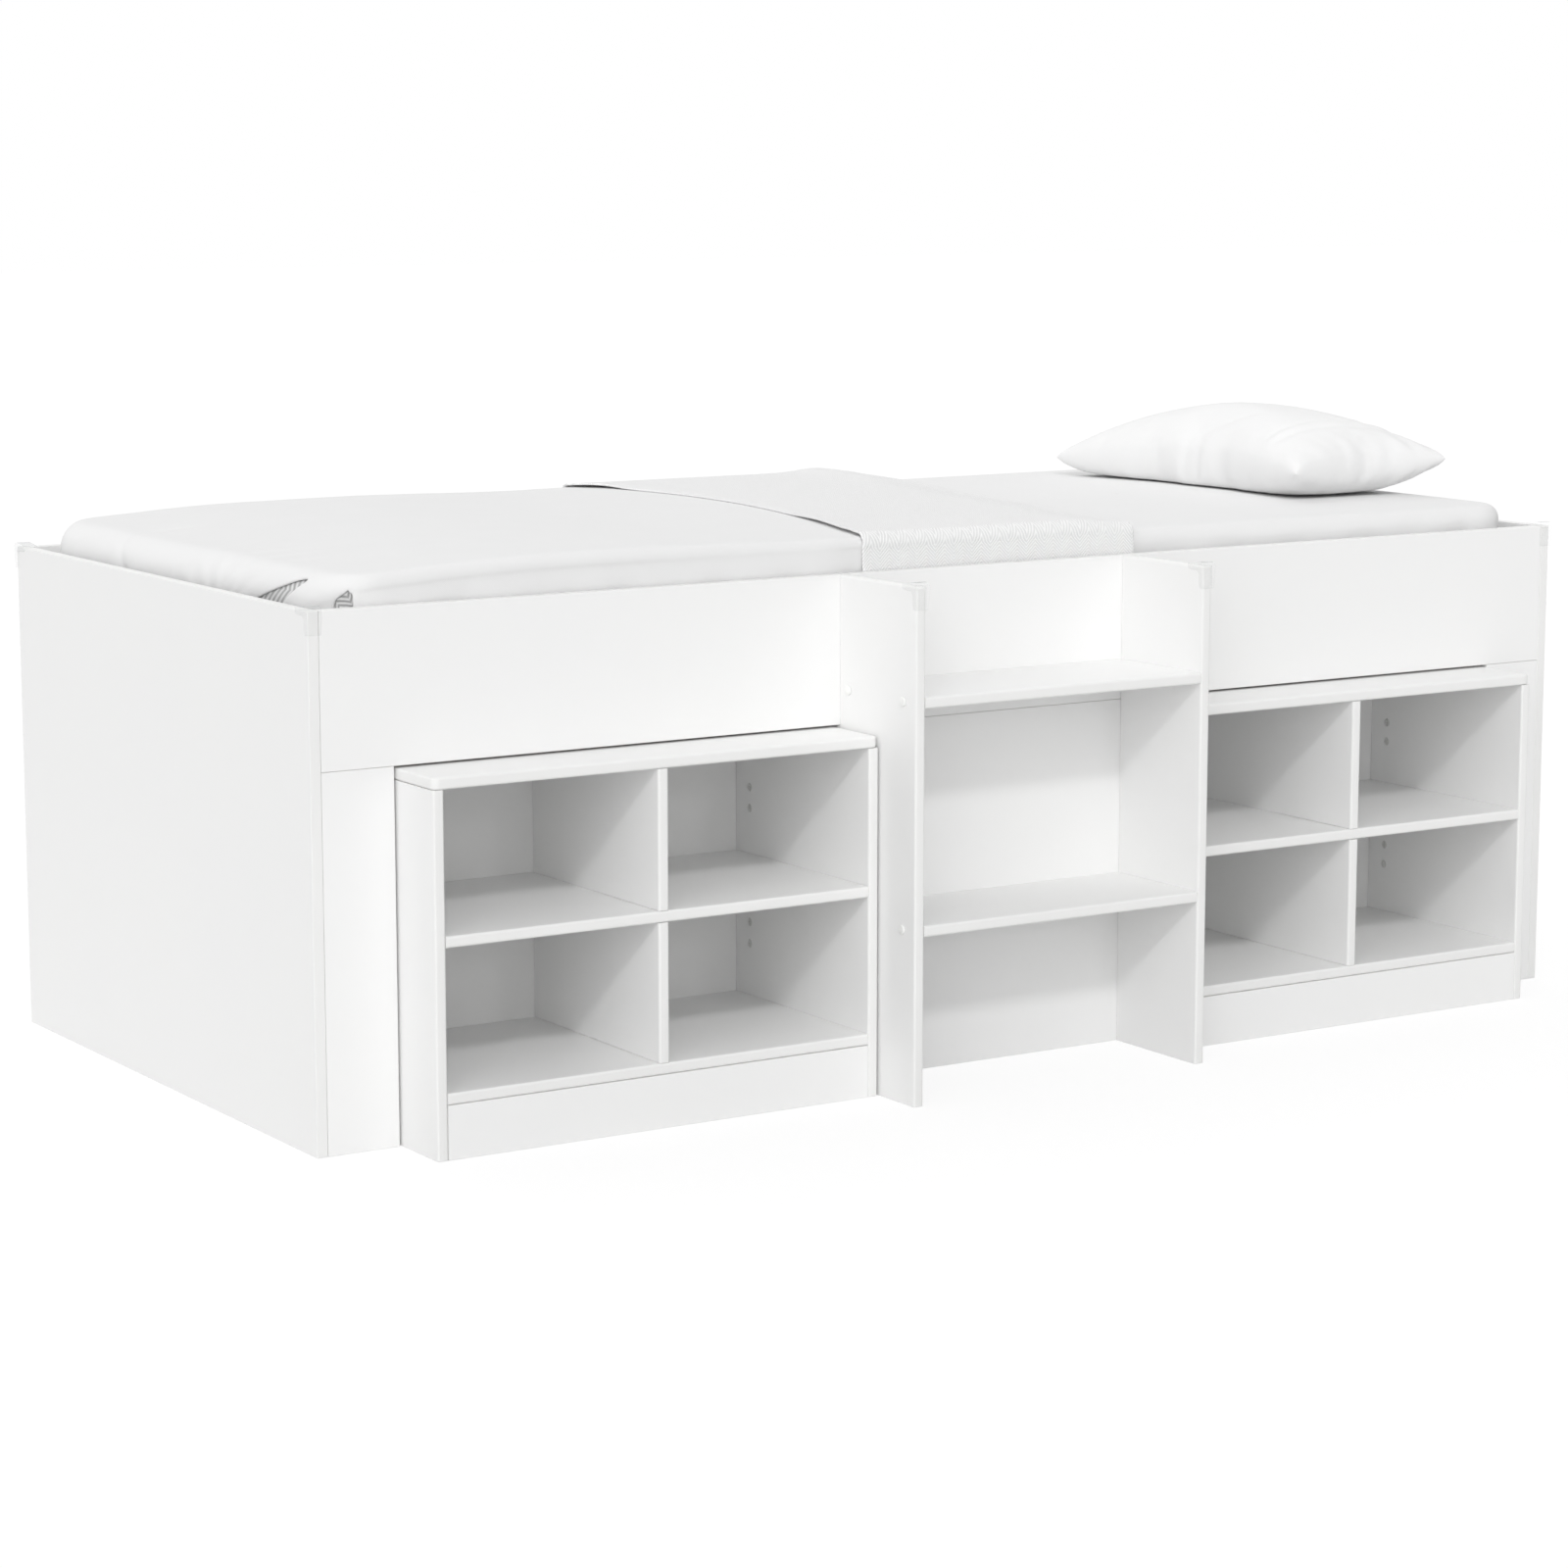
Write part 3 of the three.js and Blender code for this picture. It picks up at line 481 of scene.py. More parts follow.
def board(node, axis, free=(), ease=BODY_EASE, body="bed", outline=None, tools=()):
    """A board in a node's place: melamine on its broad faces and banding on its narrow ones. Its
    free edges are rounded, and the others only lose their sharpness."""
    low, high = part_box(node)
    u, v, w = AXES[axis]
    shape = prism(axis, outline or rectangle(low[u], low[v], high[u], high[v]), low[w], high[w])
    loose = {f for f in shape.faces if is_free(f, axis, free)}
    broad = {f for f in shape.faces if abs(f.normal[w]) > BROAD_FACE}
    rounded = []
    for edge in shape.edges:
        pair = set(edge.link_faces)
        if edge.calc_face_angle() > ROUNDED_EDGE and pair & loose and pair <= loose | broad:
            rounded.append(edge)
    ease_edges(shape, rounded, ease, 4)
    sharp = [e for e in shape.edges if e.calc_face_angle(0) > SHARP_EDGE]
    ease_edges(shape, sharp, BUTT_EASE, 1)
    for face in shape.faces:
        face.material_index = 0 if abs(face.normal[w]) > LEVEL_FACE else 1
        face.smooth = True
    made = carved(node + "_board", shape, [MELAMINE, BANDING])
    if tools:
        cut_away(made, tools)
    even_shading(made)
    settle(made, body, "melamine_board", node)


def lathe(name, profile, centre, way, materials):
    """A round closed piece: `profile` gives distances along X and radii, from end to end."""
    (start, _), *rows, (end, _) = profile
    turns = [2 * math.pi * i / LATHE_SIDES for i in range(LATHE_SIDES)]
    points = [(start, 0, 0)]
    for along, radius in rows:
        points += [(along, radius * math.cos(turn), radius * math.sin(turn)) for turn in turns]
    last = len(points)
    points.append((end, 0, 0))
    faces = bands(len(rows), LATHE_SIDES, 1)
    for i in range(LATHE_SIDES):
        j = (i + 1) % LATHE_SIDES
        faces += [(0, 1 + j, 1 + i), (last - LATHE_SIDES + i, last - LATHE_SIDES + j, last)]
    if way < 0:
        faces = [face[::-1] for face in faces]
    moved = [Vector((x * way, y, z)) + Vector(centre) for x, y, z in points]
    return piece(name, moved, faces, materials)


def drill(centre, radius, depth, way):
    """A plain round tool that reaches `depth` into a board from a point on its face, along X."""
    over = 1 * MM
    return lathe("drill", [(-over, 0), (-over, radius), (depth, radius), (depth, 0)], centre, way, [])


def add_body():
    for side in ("left", "right"):
        board(side + "_end_panel", "x", ("-y", "+y", "+z"))
    for rail in ("front_guard_rail", "rear_guard_rail", "rear_lower_rail"):
        board(rail, "y", ("+z", "-z"))
    board("left_front_board", "y", ("+x",))
    board("centre_front_board", "y", ("+x", "-x"))
    board("right_front_board", "y", ("-x",))
    ledge_low, ledge_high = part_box("front_slat_ledge")
    for side in ("left", "right"):
        node = side + "_partition"
        low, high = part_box(node)
        notch = ledge_high.y - low.y + SLOT_SLIP
        foot = ledge_low.z - SLOT_SLIP
        board(node, "x", outline=[
            (low.y, low.z), (high.y, low.z), (high.y, foot), (high.y - notch, foot),
            (high.y - notch, high.z), (low.y + notch, high.z), (low.y + notch, foot), (low.y, foot)])
    for name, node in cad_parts.items():
        if name.startswith("slat_"):
            wood = SPRUCE_ACROSS
        elif name.endswith("_slat_ledge"):
            wood = SPRUCE_ALONG
        else:
            continue
        node.data.materials.clear()
        node.data.materials.append(wood)


# Ladder

def screw_places():
    """Each step screw's node and step, the centre of its cap's outer face, the way its shank points
    and its whole length."""
    for side, way in (("left", 1), ("right", -1)):
        for step in ("lower", "upper"):
            for row in ("rear", "front"):
                node = f"{side}_{step}_{row}_screw"
                low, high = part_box(node)
                outer = low.x if way > 0 else high.x
                centre = (outer, (low.y + high.y) / 2, (low.z + high.z) / 2)
                yield node, step, centre, way, high.x - low.x


def add_ladder():
    screws = list(screw_places())
    for side, way in (("left", 1), ("right", -1)):
        tools = [drill(c, DRILL_RADIUS, length, w) for _, _, c, w, length in screws if w == way]
        board(f"ladder_{side}_side", "x", ("-y", "+z"), FURNITURE_EASE, tools=tools)
    for step in ("lower", "upper"):
        tools = [drill(c, DRILL_RADIUS, length + SLOT_SLIP, w)
                 for _, s, c, w, length in screws if s == step]
        board(f"ladder_{step}_step", "z", ("-y",), FURNITURE_EASE, tools=tools)
    for node, _, centre, way, length in screws:
        cap = [(0, 0), (0, CAP_RADIUS - 3 * CAP_RIM), (0.4 * CAP_CROWN, CAP_RADIUS - 1.4 * CAP_RIM),
               (CAP_CROWN, CAP_RADIUS - 0.5 * CAP_RIM), (CAP_CROWN + 0.5 * CAP_RIM, CAP_RADIUS),
               (CAP_THICKNESS, CAP_RADIUS)]
        shank = [(CAP_THICKNESS, SHANK_RADIUS), (length - SHANK_RADIUS, SHANK_RADIUS), (length, 0)]
        settle(lathe(node + "_cap", cap + shank, centre, way, [CAP]), "bed", "cap_plastic", node)


# Corner guards

def bezier(a, b, c, steps):
    """Points from `a` to `c` on a curve drawn towards `b`."""
    a, b, c = (np.array(p, float) for p in (a, b, c))
    return [(1 - t) ** 2 * a + 2 * t * (1 - t) * b + t * t * c for t in np.linspace(0, 1, steps + 1)]


def guard_lines():
    """Three lines from the upper arm's end round the corner to the front arm's end: the outside of
    the bow, the board's own edge, and the inner edge of the cheeks. Zero is the board's corner."""
    arm, proud, inside = -GUARD_ARM, GUARD_PROUD, -GUARD_BAND
    turn, lead = proud - GUARD_CORNER, -1.2 * GUARD_CORNER
    outer = bezier((arm, GUARD_TIP), (lead, proud), (turn, proud), 8)
    outer += bezier((turn, proud), (proud, proud), (proud, turn), 8)[1:]
    outer += bezier((proud, turn), (proud, lead), (GUARD_TIP, arm), 8)[1:]
    half = len(outer) // 2
    edge = [np.array((arm * (1 - i / half), 0.0)) for i in range(half)]
    edge += [np.array((0.0, arm * i / half)) for i in range(half + 1)]
    tip = inside + GUARD_TIP
    lead, full = (arm + distance for distance in GUARD_END)
    cheek = bezier((arm, tip), (lead, inside), (full, inside), 6)
    cheek += bezier((inside - GUARD_BEND, inside), (inside, inside), (inside, inside - GUARD_BEND), 10)
    cheek += bezier((inside, full), (inside, lead), (tip, arm), 6)
    return outer, edge, cheek


def add_guard(node, panel, outward, rail=None):
    """A bow over a board's upper corner, with a cheek on each of its faces, lofted as one skin.
    Where a rail meets the board, the guard is cut away round it."""
    low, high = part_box(panel)
    outer, edge, cheek = guard_lines()
    inner = (high.x - low.x) / 2 + GUARD_SLIP
    wide = inner + GUARD_CHEEK
    middle = (low.x + high.x) / 2
    corner = high.y if outward > 0 else low.y

    def at(spot, across):
        return (middle + across, corner + outward * spot[0], high.z + spot[1])

    points = []
    sides, count = 8, len(outer)
    for i in range(count):
        rim = cheek[round(i * (len(cheek) - 1) / (count - 1))]
        bow, seat = outer[i], edge[i] + GUARD_SLIP
        points += [at(rim, wide), at(bow, wide), at(bow, -wide), at(rim, -wide),
                   at(rim, -inner), at(seat, -inner), at(seat, inner), at(rim, inner)]
    faces = [tuple(range(sides))[::-1], tuple(range((count - 1) * sides, count * sides))]
    faces += bands(count, sides)
    made = piece(node + "_clip", points, faces, [CLEAR])
    rework(made, lambda shape: bmesh.ops.recalc_face_normals(shape, faces=shape.faces))
    if rail:
        slip = GUARD_SLIP
        low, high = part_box(rail)
        outline = rectangle(low.x - slip, low.z, high.x + slip, high.z + slip)
        cut_away(made, [carved("rail_room", prism("y", outline, low.y - slip, high.y + slip))])
    soften = made.modifiers.new("soften", "BEVEL")
    soften.width, soften.segments, soften.limit_method = GUARD_EASE, 2, "ANGLE"
    soften.angle_limit = math.radians(50)
    even_shading(made)
    settle(made, "bed", "clear_plastic", node)


def add_guards():
    for side in ("left", "right"):
        for end, outward in (("front", -1), ("rear", 1)):
            add_guard(f"{side}_{end}_guard", side + "_end_panel", outward, end + "_guard_rail")
    for side in ("left", "right"):
        add_guard(f"ladder_{side}_guard", f"ladder_{side}_side", -1)


# Bookcases

def add_bookcase(side):
    body = side + "_bookcase"

    def box(name):
        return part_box(f"{body}_{name}")

    def panel(name, axis, free=("-y",), ease=FURNITURE_EASE, outline=None, tools=()):
        board(f"{body}_{name}", axis, free, ease, body, outline, tools)

    low, high = box("top")
    arc = [(LID_CORNER * (1 - math.sin(a)), LID_CORNER * (1 - math.cos(a)))
           for a in np.linspace(0, math.pi / 2, 7)]
    outline = [(low.x + across, low.y + deep) for across, deep in arc[::-1]]
    outline += [(high.x - across, low.y + deep) for across, deep in arc]
    outline += [(high.x, high.y), (low.x, high.y)]
    panel("top", "z", ("-y", "+x", "-x"), outline=outline)
    panel("left_side", "x")

    inner_face, cam_line = box("right_side")[0].x, box("back")[0].y - CAM_INSET
    cams = [(inner_face, cam_line, box(over)[0].z - drop)
            for over, drops in CAM_DROPS.items() for drop in drops]
    panel("right_side", "x", tools=[drill(c, CAM_RADIUS, CAM_DEPTH, 1) for c in cams])
    for i, centre in enumerate(cams):
        add_cam(f"{body}_cam_{i + 1}", centre, body)

    panel("back", "y", (), BODY_EASE)
    panel("plinth", "y", (), BODY_EASE)
    panel("floor", "z")

    # the shelf and the divider are slotted into each other, each over half the depth
    low, high = box("shelf")
    post_low, post_high = box("divider")
    halfway = (low.y + high.y) / 2
    gap = SLOT_SLIP
    panel("shelf", "z", outline=[
        (low.x, low.y), (high.x, low.y), (high.x, high.y), (post_high.x + gap, high.y),
        (post_high.x + gap, halfway), (post_low.x - gap, halfway), (post_low.x - gap, high.y),
        (low.x, high.y)])
    panel("divider", "x", outline=[
        (post_low.y, post_low.z), (post_high.y, post_low.z), (post_high.y, post_high.z),
        (post_low.y, post_high.z), (post_low.y, high.z + gap), (halfway + gap, high.z + gap),
        (halfway + gap, low.z - gap), (post_low.y, low.z - gap)])


def add_cam(name, centre, body):
    """A cam lock's white housing, a little below the board's face, with a cross for the driver."""
    radius, bottom = CAM_RADIUS - CAM_SLIP, CAM_DEPTH - CAM_SLIP
    profile = [(CAM_RECESS, 0), (CAM_RECESS, radius - CAM_RIM), (CAM_RECESS + CAM_RIM / 2, radius),
               (bottom, radius), (bottom, 0)]
    made = lathe(name, profile, centre, 1, [CAM])
    x, y, z = centre
    crosses = []
    for half_y, half_z in (CROSS, CROSS[::-1]):
        outline = rectangle(y - half_y, z - half_z, y + half_y, z + half_z)
        shape = prism("x", outline, x - CROSS_DEPTH, x + CAM_RECESS + CROSS_DEPTH)
        crosses.append(carved("cross", shape))
    cut_away(made, crosses)
    even_shading(made)
    settle(made, body, "cap_plastic")


# Bedding

def ripple(kind, x, y, z=0.0):
    """One kind of smooth unevenness at a point of a cloth, the same at each run."""
    height, size, start = UNEVEN[kind]
    return height * noise.noise(Vector((x / size + start, y / size - start, z / size)))


def bump_at(value, centre, width):
    """1 at the centre, and smoothly down to nothing about two widths away."""
    return math.exp(-((value - centre) / width) ** 2)


def fade(value, start, stop):
    """0 before `start`, 1 after `stop`, smooth between."""
    t = min(max((value - start) / (stop - start), 0.0), 1.0)
    return t * t * (3 - 2 * t)


CORNER_ARC, END_STEPS, SIDE_STEPS = 14, 90, 180  # steps of the mattress's rings


def rounded_ring(low, high, inset, radius):
    """Points round the mattress's outline, drawn in by `inset`, with round corners, as X and Y."""
    corners = [(high.x, low.y, -1, 1, -90), (high.x, high.y, -1, -1, 0),
               (low.x, high.y, 1, -1, 90), (low.x, low.y, 1, 1, 180)]
    arcs = []
    for x, y, in_x, in_y, start in corners:
        centre = np.array((x + in_x * (inset + radius), y + in_y * (inset + radius)))
        angles = [math.radians(start + 90 * i / CORNER_ARC) for i in range(CORNER_ARC + 1)]
        arcs.append([centre + radius * np.array((math.cos(a), math.sin(a))) for a in angles])
    ring = []
    for k, arc in enumerate(arcs):
        gap = arcs[(k + 1) % 4][0] - arc[-1]
        steps = (END_STEPS, SIDE_STEPS)[k % 2]
        ring += arc + [arc[-1] + gap * i / steps for i in range(1, steps)]
    return ring


def add_mattress():
    """The mattress in its fitted sheet: tight over the top, with a soft roll at the edges, small
    gathers at the corners and shallow drag lines along the sides."""
    low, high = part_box("mattress")
    shoulder = high.z - MATTRESS_CROWN
    edge_steps, side_rows, top_rows = 8, 8, 36
    lower, upper = [], []
    for i in range(edge_steps + 1):
        angle = math.pi / 2 * i / edge_steps
        inset, rise = MATTRESS_EDGE * (1 - math.sin(angle)), MATTRESS_EDGE * (1 - math.cos(angle))
        lower.append((inset, low.z + rise))
        upper.append((rise, shoulder - inset))
    start, stop = low.z + MATTRESS_EDGE, shoulder - MATTRESS_EDGE
    sides = [(0.0, start + (stop - start) * i / side_rows) for i in range(1, side_rows)]
    shares = [i / top_rows for i in range(1, top_rows + 1)]
    reach = (high.y - low.y) / 2 - MATTRESS_EDGE - RIDGE
    over = [(MATTRESS_EDGE + reach * s, shoulder + MATTRESS_CROWN * fade(s, 0, 0.8)) for s in shares]
    rings = lower + sides + upper + over
    points, flat = [], []
    travelled, last = 0.0, rings[0]
    for inset, height in rings:
        travelled += math.hypot(inset - last[0], height - last[1])
        last = (inset, height)
        radius = max(MATTRESS_CORNER - inset, MATTRESS_EDGE)
        for spot in rounded_ring(low, high, inset, radius):
            points.append(sheet_point(spot, height, low, high))
            flat.append((spot[0], spot[1] + travelled))
    around = len(points) // len(rings)
    faces = bands(len(rings), around)
    faces.append(tuple(range(around))[::-1])
    # the last ring is closed by faces across it, from its right end to its left end
    top_ring = (len(rings) - 1) * around
    end = CORNER_ARC + END_STEPS // 2
    for t in range(around // 2):
        corners = [top_ring + (end + k) % around for k in (t, t + 1, -t - 1, -t)]
        faces.append(tuple(dict.fromkeys(corners)))
    made = piece("mattress_in_sheet", points, faces, [SHEET], flat)
    settle(made, "bed", "sheet_cotton", "mattress")


def sheet_point(spot, height, low, high):
    """One point of the fitted sheet, with its wrinkles."""
    x, y = spot
    drop = high.z - height
    along, across = x - (low.x + high.x) / 2, y - (low.y + high.y) / 2
    from_end = min(max(x - low.x, 0), max(high.x - x, 0))
    from_side = min(max(y - low.y, 0), max(high.y - y, 0))
    gathered = math.exp(-math.hypot(from_end, from_side) / GATHER_REACH) * fade(drop, 2 * MM, 30 * MM)
    gathers = gathered * GATHER_DEPTH * math.sin(math.atan2(across, along) * GATHER_COUNT)
    hanging = fade(drop, 4 * MM, 34 * MM) * (1 - fade(drop, 120 * MM, 160 * MM))
    drag = hanging * ripple("sheet_sides", x, y, height * 2.2)
    soft = ripple("sheet_top", x, y, height)
    below = fade(drop, 0, MATTRESS_EDGE)
    out = gathers + drag - 1.2 * MM * below
    # the foot of the mattress gives a little under the blanket
    sunk = 8 * MM * bump_at(x, low.x, 150 * MM) + 6 * MM * bump_at(x, low.x, 35 * MM)
    sunk *= 1 - fade(drop, 0, 70 * MM)
    if from_end < 100 * MM:
        x += math.copysign(1, along) * out
    else:
        y += math.copysign(1, across) * out
    return (x, y, height + soft * (1 - below) - sunk - 0.6 * MM)


class Bedding:
    """The innermost surface of the bedding: flat on the mattress, turned down over its edges at
    the front, the foot and the wall, and hanging there. It sinks softly towards the foot."""

    def __init__(self):
        low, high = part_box("mattress")
        self.foot = low.x
        self.top = high.z + LAYER_GAP
        self.left = low.x - LAYER_GAP + BLANKET_CORNER
        self.front = low.y - LAYER_GAP + BLANKET_CORNER
        self.rear = high.y + LAYER_GAP - BLANKET_CORNER
        self.turn = BLANKET_CORNER + PLAIN_STANDS
        self.arc = self.turn * math.pi / 2

    def across(self, y):
        return min(max((y - self.front) / (self.rear - self.front), 0.0), 1.0)

    def bend(self, way):
        """The inside radius where the cloth turns down: wide at the foot, tight at the sides."""
        return SIDE_BEND + (FOOT_BEND - SIDE_BEND) * way[0] ** 2

    def beyond(self, way, row):
        """How far along the cloth a row lies: rows up to 1 on top, up to 2 in the bend, then
        hanging."""
        radius = self.bend(way)
        return ((BLANKET_CORNER - radius) * min(row, 1.0) + radius * math.pi / 2 * min(max(row - 1, 0), 1)
                + (BLANKET_DROP - radius) * max(row - 2, 0.0))

    def lay(self, base, way, beyond):
        """The point `beyond` the base, along the cloth, its facing and how far it hangs."""
        radius = self.bend(way)
        flat = BLANKET_CORNER - radius
        quarter = radius * math.pi / 2
        bend = min(max(beyond - flat, 0.0), quarter) / radius
        below = radius * (1 - math.cos(bend)) + max(beyond - flat - quarter, 0.0)
        outward = min(beyond, flat) + radius * math.sin(bend)
        point = Vector((base[0] + outward * way[0], base[1] + outward * way[1], self.top - below))
        point.z -= FOOT_SINK * bump_at(max(point.x, self.foot), self.foot, FOOT_SINK_REACH)
        facing = Vector((way[0] * math.sin(bend), way[1] * math.sin(bend), math.cos(bend)))
        return point, facing, below

    def near_rim(self, place):
        """The rim's base and way by its distance from the near corner: below 0 at the foot, then
        round the corner, then along the front."""
        if place <= 0:
            return (self.left, self.front - place), (-1.0, 0.0)
        if place < self.arc:
            angle = math.pi + place / self.turn
            return (self.left, self.front), (math.cos(angle), math.sin(angle))
        return (self.left + place - self.arc, self.front), (0.0, -1.0)


def head_fold(share):
    """Where the blanket is turned back, a little askew and unevenly, by the way across the bed."""
    wave = 4 * MM * math.sin(share * 9.0) + 3 * MM * math.sin(share * 23.0 + 1)
    return HEAD_FOLD[0] + (HEAD_FOLD[1] - HEAD_FOLD[0]) * share ** 0.8 + wave * share


# a smooth curve that runs near those points
EDGE_CURVE = np.polynomial.Polynomial.fit(*zip(*TURNED_EDGE), 4)


def turned_edge(share):
    """Where the turned-back layer ends on top: bowed towards the head in the middle of the bed."""
    return float(EDGE_CURVE(share))


def hem_lean(bedding, y):
    """How far that layer's end leans to the foot, by the flat place across the bed."""
    front, rear = bedding.front - y, y - bedding.rear
    return -HEM_LEAN[0] * fade(front, 0, HEM_LEAN_REACH) - HEM_LEAN[1] * fade(rear, 0, HEM_LEAN_REACH)


# rows of a rim: up to 1 on top, up to 2 in the bend and up to 3 where the cloth hangs
ROWS = [i / 4 for i in range(1, 5)] + [1 + i / 10 for i in range(1, 21)]
CORNER_STEPS = 18  # columns round a corner
ACROSS_STEPS = 80  # faces across the bed


class Cloth:
    """Points, faces and flat coordinates of one blanket layer while it is being laid."""

    def __init__(self, bedding, shape):
        self.bedding = bedding
        self.shape = shape
        self.points, self.flat, self.faces = [], [], []

    def put(self, base, way, row, turn=0.0, laid=None, place=None):
        """Adds one point. `turn` leads it round the fold at the head, from 0 on top to a half turn
        at the bottom, and `place` is where it is on the near rim."""
        beyond = self.bedding.beyond(way, row)
        point, facing, below = self.bedding.lay(base, way, beyond)
        if laid is None:
            laid = (base[0] + way[0] * beyond, base[1] + way[1] * beyond)
        spot = point + facing * self.shape(point, facing, below, laid, place)
        if turn:
            inner = point + facing * FOLD_INSIDE
            middle, out = (spot + inner) / 2, (spot - inner) / 2
            spot = middle + out * math.cos(turn) + Vector((out.length * math.sin(turn), 0, 0))
            laid = (laid[0] + out.length * turn, laid[1])
        self.points.append(spot)
        self.flat.append(laid)
        return len(self.points) - 1

    def join(self, here, there):
        """Faces between two columns of a rim, the second to the right of the first."""
        for r in range(len(here) - 1):
            quad = (here[r], here[r + 1], there[r + 1], there[r])
            self.faces.append(quad[:3] if quad[0] == quad[3] else quad)

    def lay_top(self, alongs, starts, ends):
        """The grid on top. `alongs` holds each row's share of the way and its turn at the head."""
        ys = np.linspace(self.bedding.front, self.bedding.rear, ACROSS_STEPS + 1)
        spots = []
        for share, turn in alongs:
            line = []
            for y in ys:
                way_over = self.bedding.across(y)
                line.append((starts(way_over) + (ends(way_over) - starts(way_over)) * share, y))
            spots.append(line)
        top = []
        for line, (_, turn) in zip(spots, alongs):
            top.append([self.put(spot, (0, 0), 0.0, turn) for spot in line])
        for here, there in zip(top, top[1:]):
            for j in range(ACROSS_STEPS):
                self.faces.append((here[j], there[j], there[j + 1], here[j + 1]))
        return spots, top

    def side(self, spots, top, alongs, edge, way, leans=False):
        """The columns that hang along one side, from the first row of the top to the last."""
        columns = []
        for i, (share, turn) in enumerate(alongs):
            x, y = spots[i][edge]
            column = [top[i][edge]]
            for row in ROWS:
                over = y + way[1] * self.bedding.beyond(way, row)
                lean = hem_lean(self.bedding, over) * (1 - share) ** 2 if leans else 0.0
                column.append(self.put((x + lean, y), way, row, turn))
            columns.append(column)
        return columns

    def join_run(self, columns):
        """Faces between all columns, each to the right of the one before."""
        for here, there in zip(columns, columns[1:]):
            self.join(here, there)


def thicken(made, thickness):
    """Gives a cloth its thickness inwards, with soft rims."""
    body = made.modifiers.new("thickness", "SOLIDIFY")
    body.thickness, body.offset = thickness, -1.0
    refine(made)


# The pleats at the near corner, on the rim. A pleat parts from its tip downwards: each lip is drawn
# aside by `opening` and then by `slope` times the depth, and this dies away over `reach`.
PLEATS = (
    {"place": 0.0, "tip": -6.0 * MM,
     "left": {"opening": -12 * MM, "slope": -2.9, "reach": 0.3, "curl": -0.8 * MM},
     "right": {"opening": 9 * MM, "slope": -1.35, "reach": 0.1, "curl": 0.4 * MM}},
    {"place": 0.080, "tip": -18.0 * MM,
     "left": {"opening": -13 * MM, "slope": -0.3, "reach": 0.05, "curl": -0.8 * MM},
     "right": {"opening": 5 * MM, "slope": 0.15, "reach": 0.05, "curl": 4 * MM}},
)
PLEAT_DEPTH = 40 * MM  # below which a pleat opens no further
CURL_REACH = 20 * MM  # how far along the rim its lips curl
INNER_OFF = 3.2 * MM  # from the mattress to the cloth inside the pleats, where it hangs
INNER_LOFT = 6 * MM  # and how much more on top
# that cloth is drawn out up to here, as a distance in front of the round corner's middle, then pressed
INNER_SHADE = 35 * MM


def lip_at(pleat, cut, column, to_right):
    """The lip that a column belongs to. The pleat's own column comes twice, once for each."""
    return pleat["right" if column > cut or column == cut and to_right else "left"]


def pleat_pull(depth, gap, lip):
    """How far a lip's cloth is drawn aside, `gap` away from the pleat."""
    opening = lip["opening"] * fade(depth, 0, 3 * MM) + lip["slope"] * depth
    return opening * (1 - fade(gap, 0, lip["reach"]))


def lay_near_rim(cloth, spots, top):
    """The columns round the foot, the near corner and the front, parted at the pleats."""
    bedding = cloth.bedding
    places = [(bedding.front - y, start) for (_, y), start in zip(spots[0], top[0])][::-1]
    places += [(bedding.arc * k / CORNER_STEPS, top[0][0]) for k in range(1, CORNER_STEPS)]
    places += [(bedding.arc + line[0][0] - bedding.left, start[0]) for line, start in zip(spots, top)]
    cuts = [min(range(len(places)), key=lambda c: abs(places[c][0] - pleat["place"])) for pleat in PLEATS]

    def column(c, to_right):
        """One column, and how many of its points lie above each pleat's tip."""
        place, start = places[c]
        base, way = bedding.near_rim(place)
        line, closed = [start], [1] * len(PLEATS)
        for row in ROWS:
            beyond = bedding.beyond(way, row)
            point, facing, below = bedding.lay(base, way, beyond)
            laid = (base[0] + way[0] * beyond, base[1] + way[1] * beyond)
            height = point.z + facing.z * cloth.shape(point, facing, below, laid, None)
            pull = 0.0
            for k, (pleat, cut) in enumerate(zip(PLEATS, cuts)):
                depth = min(max(bedding.top + pleat["tip"] - height, 0.0), PLEAT_DEPTH)
                pull += pleat_pull(depth, abs(place - places[cut][0]), lip_at(pleat, cut, c, to_right))
                closed[k] += depth <= 0
            moved_base, moved_way = bedding.near_rim(place + pull)
            line.append(cloth.put(moved_base, moved_way, row, laid=laid, place=(place, to_right, cuts, c)))
        return line, closed

    columns = []
    for c in range(len(places)):
        line, closed = column(c, False)
        twin = line
        if c in cuts:
            twin, _ = column(c, True)
            shared = closed[cuts.index(c)]
            twin[:shared] = line[:shared]
        columns.append((line, twin))
    for (_, here), (there, _) in zip(columns, columns[1:]):
        cloth.join(here, there)


def pleat_curl(place, depth_of):
    """How far the lips of the pleats stand out or lie in near them."""
    if place is None:
        return 0.0
    spot, to_right, cuts, column = place
    out = 0.0
    for pleat, cut in zip(PLEATS, cuts):
        near = math.exp(-abs(spot - pleat["place"]) / CURL_REACH)
        curl = lip_at(pleat, cut, column, to_right)["curl"]
        out += curl * near * fade(depth_of(pleat["tip"]), 0, 8 * MM)
    return out


